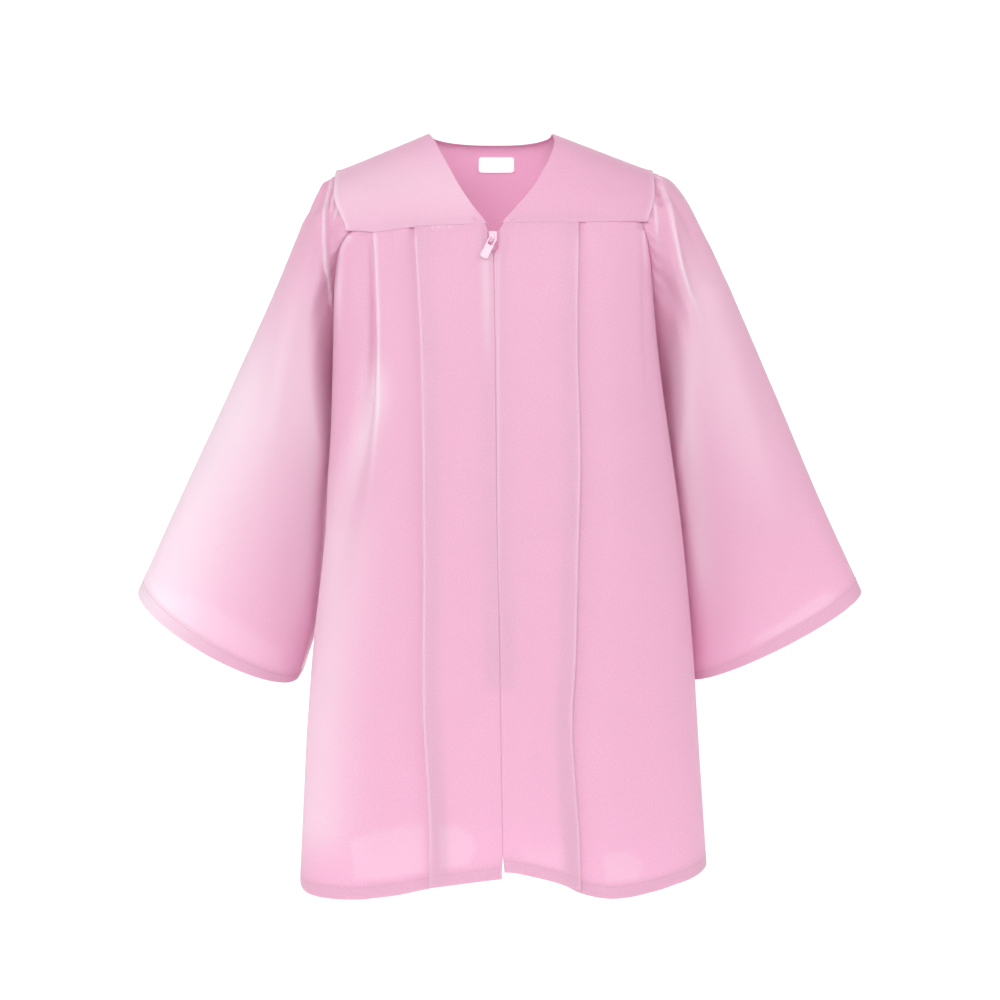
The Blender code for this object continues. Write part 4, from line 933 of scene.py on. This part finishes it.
def joined(name, pieces, finish):
    """One mesh of many small pieces, each (points, faces)."""
    points, faces = [], []
    for some, some_faces in pieces:
        faces.extend([[len(points) + i for i in face] for face in some_faces])
        points.extend(np.asarray(some).tolist())
    made = placed(name, mesh_of(name, points, faces, finish))
    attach(made, "gown")
    return made


STITCH_PITCH, STITCH_LENGTH, THREAD = 0.0030, 0.0021, 0.00022
STITCH_RISE, STITCH_DIP = 0.0001, 0.0002  # of its middle over the cloth, and of its ends into it
STITCH_ENDS, STITCH_MIDDLE = (0.0, 1.0), (0.22, 0.78)  # shares of its length


def stitches(name, line, up, finish):
    """A row of stitches along a line of points, each a short thread that dips into the cloth."""
    steps = norm(np.diff(line, axis=0))
    along = np.concatenate([[0], np.cumsum(steps)])

    def on_line(values, at):
        return np.array([np.interp(at, along, values[:, i]) for i in range(3)])

    made = []
    for start in np.arange(STITCH_PITCH / 2, along[-1] - STITCH_LENGTH, STITCH_PITCH):
        tips, middles = (
            [on_line(line, start + share * STITCH_LENGTH) for share in shares]
            for shares in (STITCH_ENDS, STITCH_MIDDLE)
        )
        normal = unit(on_line(up, start))
        side = np.cross(normal, unit(tips[1] - tips[0]))
        points = [tips[0] - normal * STITCH_DIP]
        for place in middles:
            for angle in np.linspace(0, 2 * math.pi, 5)[:-1]:
                offset = side * math.cos(angle) + normal * math.sin(angle)
                points.append(place + normal * STITCH_RISE + offset * THREAD)
        points.append(tips[1] - normal * STITCH_DIP)
        faces = []
        for k in range(4):
            after = (k + 1) % 4
            faces.append((0, 1 + after, 1 + k))
            faces.append((1 + k, 1 + after, 5 + after, 5 + k))
            faces.append((5 + k, 5 + after, 9))
        made.append((points, faces))
    return joined(name, made, finish)


# ---- Finishes ----


def new_finish(name):
    finish = bpy.data.materials.new(name)
    finish.use_nodes = True
    return finish, finish.node_tree


def fill(tree, made, inputs):
    """Sets a node's inputs, each to a value or to what a socket gives."""
    for name, value in inputs.items():
        if isinstance(value, bpy.types.NodeSocket):
            tree.links.new(value, made.inputs[name])
        else:
            made.inputs[name].default_value = value


def add(tree, kind, inputs, **settings):
    """The outputs of a new shader node."""
    made = tree.nodes.new("ShaderNode" + kind)
    for name, value in settings.items():
        setattr(made, name, value)
    fill(tree, made, inputs)
    return made.outputs


def tinted(colour, share=0):
    """A colour, lighter by a share of itself, or darker."""
    return (*[min(c * (1 + share), 1) for c in colour], 1)


def mixed(tree, share, first, second):
    """A mix of two colours."""
    return add(tree, "Mix", {"Factor": share, "A": first, "B": second}, data_type="RGBA")["Result"]


def shaded(tree, share, colour, darker, lighter):
    """A mix of two shades of a colour."""
    return mixed(tree, share, tinted(colour, -darker), tinted(colour, lighter))


# The pale pink of the painted highlights, then the tint of the cloth's sheen.
HIGHLIGHT_PAINT = (1.0, 0.88, 0.95)
SHEEN_TINT = (1.0, 0.96, 0.98)


def cloth_finish(name, colour, sheen=0.6, roughness=0.45, through=0.4, weave=0.00055, speckle=0.09, glow=0):
    """Matt crepe: a fine weave, a pebbly grain over it, faint slubs, a soft sheen, light through it, and
    highlights painted into its colour where the mesh's attribute asks.
    """
    finish, tree = new_finish(name)
    tree.nodes.clear()
    place = add(tree, "TexCoord", {})["UV"]
    spaced = add(tree, "Mapping", {"Scale": (1 / weave,) * 3, "Vector": place})["Vector"]
    wave = {"Scale": 0.5, "Distortion": 1.2, "Detail": 1, "Vector": spaced}
    across, along = (add(tree, "TexWave", wave, bands_direction=way)["Fac"] for way in "XY")
    woven = add(tree, "Math", {0: across, 1: along}, operation="MULTIPLY")[0]
    grain = add(tree, "TexNoise", {"Scale": 800, "Detail": 3, "Vector": place})["Fac"]
    height = add(tree, "Math", {0: woven, 1: 0.35, 2: grain}, operation="MULTIPLY_ADD")[0]
    bump = add(tree, "Bump", {"Strength": 0.5, "Distance": 0.0004, "Height": height})["Normal"]
    contrast = add(tree, "MapRange", {"From Min": 0.34, "From Max": 0.66, "Value": grain})["Result"]
    speck = shaded(tree, contrast, colour, speckle, speckle)
    slub = add(tree, "TexNoise", {"Scale": 16, "Detail": 4, "Vector": place})["Fac"]
    ground = mixed(tree, 0.5, speck, shaded(tree, slub, colour, 0.03, 0.03))
    # Painted highlights: the colour mixed towards a pale pink wherever the mesh's attribute says.
    pale = add(tree, "Attribute", {}, attribute_name="pale")["Fac"]
    with_painted_highlights = mixed(tree, pale, ground, tinted(HIGHLIGHT_PAINT))
    shader = add(tree, "BsdfPrincipled", {
        "Base Color": with_painted_highlights,
        "Normal": bump,
        "Roughness": roughness,
        "Emission Color": (1, 1, 1, 1),
        "Emission Strength": glow,
        "Sheen Weight": sheen,
        "Sheen Roughness": 0.45,
        "Sheen Tint": tinted(SHEEN_TINT),
        "Specular IOR Level": 1,
    })
    thin = add(tree, "BsdfTranslucent", {"Color": with_painted_highlights, "Normal": bump})
    blend = add(tree, "MixShader", {0: through, 1: shader[0], 2: thin[0]})
    add(tree, "OutputMaterial", {"Surface": blend[0]})
    return finish


def hard_finish(name, colour, roughness, grain_scale, grain_depth, coat=0):
    """Enamel, nylon or thread: one colour with a little uneven gloss and a fine surface grain."""
    finish, tree = new_finish(name)
    place = add(tree, "TexCoord", {})["Object"]
    grain = add(tree, "TexNoise", {"Scale": grain_scale, "Detail": 4, "Vector": place})["Fac"]
    gloss = {"To Min": roughness - 0.06, "To Max": roughness + 0.06, "Value": grain}
    fill(tree, tree.nodes["Principled BSDF"], {
        "Coat Weight": coat,
        "Base Color": shaded(tree, grain, colour, 0.07, 0.04),
        "Roughness": add(tree, "MapRange", gloss)["Result"],
        "Normal": add(tree, "Bump", {"Strength": 0.3, "Distance": grain_depth, "Height": grain})["Normal"],
    })
    return finish


PINK = (0.935, 0.575, 0.755)
PALE_PINK = (0.84, 0.59, 0.71)
cloth_pink = cloth_finish("gown_cloth", PINK)
# The label's glow is painted light: it lifts the white satin out of the shade inside the back neck.
label_white = cloth_finish("label_satin", (0.99, 0.98, 0.99), sheen=0.1, roughness=0.5, through=0.02,
                           weave=0.0003, speckle=0.012, glow=0.3)
thread_pink = hard_finish("thread", (0.84, 0.46, 0.61), 0.6, 3000, 0.00005)
tape_pink = hard_finish("zip_tape_weave", (0.84, 0.48, 0.63), 0.8, 2500, 0.0001)
nylon_pink = hard_finish("zip_nylon", (0.88, 0.56, 0.70), 0.42, 1500, 0.00003)
enamel_pink = hard_finish("zip_enamel", PALE_PINK, 0.42, 600, 0.00002, coat=0.15)


# ---- The gown ----


def sewn(name, node, points, rests_on, **how):
    """A piece of the gown's cloth. What it hangs from, rests_on, is not used."""
    made = shell(name, points, cloth_pink, "pink_cloth", node, **how)


def hem_stitches(name, outer):
    """The row of stitches that holds a hem's turning."""
    row = -(HEM_WIDTH_ROWS - 2)
    normal = outward(outer, (outer[..., 0].mean(), outer[..., 1].mean(), outer[row, :, 2].mean()))
    stitches(name, outer[row] + normal[row] * WALL / 2, normal[row], thread_pink)


def dress():
    """Every piece of cloth, with its rolled edges, turned hem and hem stitches."""
    inward = 2 * HEM_ROLL
    for side, sign in SIDES.items():
        on_yoke = f"yoke_cloth_{side}"
        outer = front_panel(side)
        grid = hemmed(outer, front_panel(side, inward))
        sewn(f"panel_cloth_{side}", f"front_panel_{side}", grid, [on_yoke], pale=PAINTED_HIGHLIGHTS[f"panel_{side}"])
        hem_stitches(f"panel_hem_stitches_{side}", outer)
        outer = sleeve(side)
        inside = (sign * SLEEVE_INSIDE[0], *SLEEVE_INSIDE[1:])
        grid = rolled(hemmed(outer, sleeve(side, inward)), 0, inside)
        sewn(f"sleeve_cloth_{side}", f"sleeve_{side}", grid,
             [on_yoke, "back_yoke_cloth", f"panel_cloth_{side}", "back_cloth"], loop=True,
             pale=(*sleeve_crest_highlights(side), *PAINTED_HIGHLIGHTS[f"sleeve_{side}"]), kind="sleeve")
        hem_stitches(f"sleeve_hem_stitches_{side}", outer)
        yoke = front_yoke(side)
        # A painted highlight along the yoke's lower edge.
        welt_highlight = Crease(*WELT_HIGHLIGHT, np.abs(yoke[:, -1][:, [0, 2]]) * [1, -1])
        sewn(on_yoke, f"front_yoke_{side}", rolled(rolled(rolled(yoke, 1), 2), 3), ["back_yoke_cloth"],
             pale=(welt_highlight, *PAINTED_HIGHLIGHTS.get(f"yoke_{side}", ())), kind="yoke")
    outer = back_panel()
    sewn("back_cloth", "back_panel", hemmed(outer, back_panel(inward)), ["back_yoke_cloth"])
    hem_stitches("back_hem_stitches", outer)
    yoke = back_yoke()
    sewn("back_yoke_cloth", "back_yoke", rolled(rolled(rolled(yoke, 1), 2), 3), [])  # on its wearer
    return yoke


def label(yoke):
    """The bare satin label inside the back neck."""
    inside = yoke - outward(yoke) * (WALL + LABEL_WALL + LABEL_CLEAR)
    middle = yoke.shape[1] // 2
    fall = inside[::-1, middle]
    height = np.linspace(LABEL_TOP, LABEL_TOP - LABEL_HEIGHT, LABEL_ROWS)[:, None]
    from_end = np.minimum(LABEL_TOP - height, height - LABEL_TOP + LABEL_HEIGHT)
    into_corner = np.clip(1 - from_end / LABEL_CORNER, 0, 1)
    half = LABEL_WIDTH / 2 - LABEL_CORNER * (1 - np.sqrt(1 - into_corner**2))
    across = np.linspace(-1, 1, LABEL_COLUMNS) * half + LABEL_ASIDE
    row = inside[np.abs(inside[:, middle, 2] - height.mean()).argmin()]
    bow = np.interp(across, row[:, 0], row[:, 1]) - np.interp(0, row[:, 0], row[:, 1])
    y = np.interp(height, fall[:, 2], fall[:, 1]) + bow
    points = together(across, y, np.broadcast_to(height, y.shape))
    made = shell("size_label", points, label_white, "label_white", "neck_label", wall=LABEL_WALL)


TOOTH_PITCH, TOOTH_HALF, TOOTH_THICK, TOOTH_DEPTH, TOOTH_LEAN = 0.0014, 0.0018, 0.00042, 0.00065, 0.00025
TOOTH_BEHIND = LAP / 2 + 0.0008 + 0.00035  # the tape's cloth and a gap lie between it and the panels
TOOTH_RINGS = ((-1.0, 0.5), (-0.8, 1.0), (0.8, 1.0), (1.0, 0.5))  # share of its half, and how fat


def zip_teeth():
    """The closed coil: a row of rounded nylon loops behind the front panels' edges."""
    low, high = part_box("zip_coil")
    faces = [tuple(range(5, -1, -1)), tuple(range(18, 24))]
    for ring in range(0, 18, 6):
        faces += [(ring + k, ring + (k + 1) % 6, ring + 6 + (k + 1) % 6, ring + 6 + k) for k in range(6)]
    made = []
    for number, height in enumerate(np.arange(low[2] + TOOTH_PITCH / 2, high[2], TOOTH_PITCH)):
        middle = on_body("left", height, 0.0) + [0, TOOTH_BEHIND, 0]
        lean = TOOTH_LEAN if number % 2 else -TOOTH_LEAN
        points = []
        for share, fat in TOOTH_RINGS:
            for angle in np.linspace(0, 2 * math.pi, 7)[:-1]:
                deep, up = TOOTH_DEPTH * fat * math.sin(angle), TOOTH_THICK * fat * math.cos(angle)
                points.append(middle + [share * TOOTH_HALF, deep, up + lean * share])
        made.append((points, faces))
    return joined("zip_teeth", made, nylon_pink)


RIM_RADIUS, RIM_CORNER = 0.00035, 0.0015
RIM_FROM_EYE, RIM_FROM_FOOT, RIM_FROM_SIDE = 0.0022, 0.0012, 0.0008


def pull_border():
    """The raised rim round the pull tab's lower part, on its front face."""
    rim = bpy.data.curves.new("pull_rim", "CURVE")
    rim.dimensions = "3D"
    top, foot = -PULL_EYE_LENGTH - RIM_FROM_EYE, -PULL_LENGTH + RIM_FROM_FOOT
    half = PULL_WIDTH / 2 - RIM_FROM_SIDE
    places = []
    for x, y, start in ((half, top, 0), (-half, top, 90), (-half, foot, 180), (half, foot, 270)):
        centre = x - math.copysign(RIM_CORNER, x), y + (RIM_CORNER if y == foot else -RIM_CORNER)
        for angle in np.radians(start + np.linspace(0, 90, 5)):
            x_round, y_round = RIM_CORNER * math.cos(angle), RIM_CORNER * math.sin(angle)
            places.append((centre[0] + x_round, centre[1] + y_round))
    line = rim.splines.new("POLY")
    line.points.add(len(places) - 1)
    for point, (x, y) in zip(line.points, places):
        point.co = (x, y, PULL_DEPTH / 2, 1)
    line.use_cyclic_u = True
    rim.bevel_depth = RIM_RADIUS
    rim.bevel_resolution = 2
    rim.materials.append(enamel_pink)
    made = placed("pull_rim", rim)
    made.location = frame["joints"][0]["pos_m"]
    made.rotation_euler = (math.pi / 2 - PULL_TILT, PULL_LEAN, 0)
    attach(made, "pull_tab")


def hardware():
    """Finishes of the zip's solids, and the teeth and rim that go with them."""
    for node, finish in (
        ("zip_tape_right", tape_pink),
        ("zip_tape_left", tape_pink),
        ("zip_slider", enamel_pink),
        ("zip_pull", enamel_pink),
    ):
        shown = frame["nodes"][node]
        shown.data.materials.clear()
        shown.data.materials.append(finish)
    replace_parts(zip_teeth(), "zip_coil")
    pull_border()


# ---- Camera, light and stage ----

LENS, SENSOR = 90, 36
CAMERA_PLACE = (0.0024, -2.0, -0.2932)
SWEEP_HALF, SWEEP_FRONT, SWEEP_TOP, SWEEP_ROUND, SWEEP_BACK, FLOOR = 6.0, -1.2, 3.0, 1.2, 4.0, -1.3
BACKDROP_SHADE, BACKDROP_GLOW, WORLD_LIGHT = 0.93, 0.46, 0.40
LIGHTS = (  # name, place, aim, size, power
    ("key", (-2.2, -1.1, 0.9), (0, 0, -0.2), (1.2, 1.4), 21),
    ("fill", (2.2, -1.1, 0.9), (0, 0, -0.2), (1.2, 1.4), 24),
    ("front", (-0.4, -2.6, 0.8), (0, 0, -0.1), (2.2, 1.6), 47),
    ("back", (0.0, 2.4, -0.84), (0, 0, -0.45), (0.35, 0.30), 8),
    ("behind", (0.0, 2.2, 0.6), (0, 0, -0.3), (2.4, 1.6), 10),
)


def camera():
    data = bpy.data.cameras.new("camera")
    data.lens, data.sensor_width = LENS, SENSOR
    made = placed("camera", data)
    made.location = CAMERA_PLACE
    made.rotation_euler = (math.pi / 2, 0, 0)
    bpy.context.scene.camera = made


def area_light(name, place, aim, size, power):
    data = bpy.data.lights.new(name, "AREA")
    data.shape, data.size, data.size_y = "RECTANGLE", *size
    data.energy = power
    made = placed(name, data)
    made.location = place
    made.rotation_euler = (Vector(aim) - Vector(place)).to_track_quat("-Z", "Y").to_euler()


def stage():
    """A pale floor that curves up into a pale backdrop, and soft light from both sides and the front."""
    profile = [(SWEEP_FRONT, FLOOR)]
    for angle in np.radians(np.linspace(-90, 0, 17)):
        across, up = SWEEP_ROUND * math.cos(angle), SWEEP_ROUND * math.sin(angle)
        profile.append((SWEEP_BACK - SWEEP_ROUND + across, FLOOR + SWEEP_ROUND + up))
    profile.append((SWEEP_BACK, SWEEP_TOP))
    points = [(x, y, z) for y, z in profile for x in (-SWEEP_HALF, SWEEP_HALF)]
    faces = [(2 * i, 2 * i + 1, 2 * i + 3, 2 * i + 2) for i in range(len(profile) - 1)]
    white, tree = new_finish("backdrop_white")
    fill(tree, tree.nodes["Principled BSDF"], {
        "Base Color": (BACKDROP_SHADE, BACKDROP_SHADE, BACKDROP_SHADE, 1),
        "Roughness": 0.9,
        "Emission Color": (1, 1, 1, 1),
        "Emission Strength": BACKDROP_GLOW,
    })
    placed("backdrop", mesh_of("backdrop", points, faces, white))
    world = bpy.data.worlds.new("studio")
    world.use_nodes = True
    tree = world.node_tree
    fill(tree, tree.nodes["Background"], {"Color": (1, 1, 1, 1), "Strength": WORLD_LIGHT})
    bpy.context.scene.world = world
    bpy.context.scene.view_settings.view_transform = "Standard"
    for light in LIGHTS:
        area_light(*light)


camera()
stage()
label(dress())
hardware()
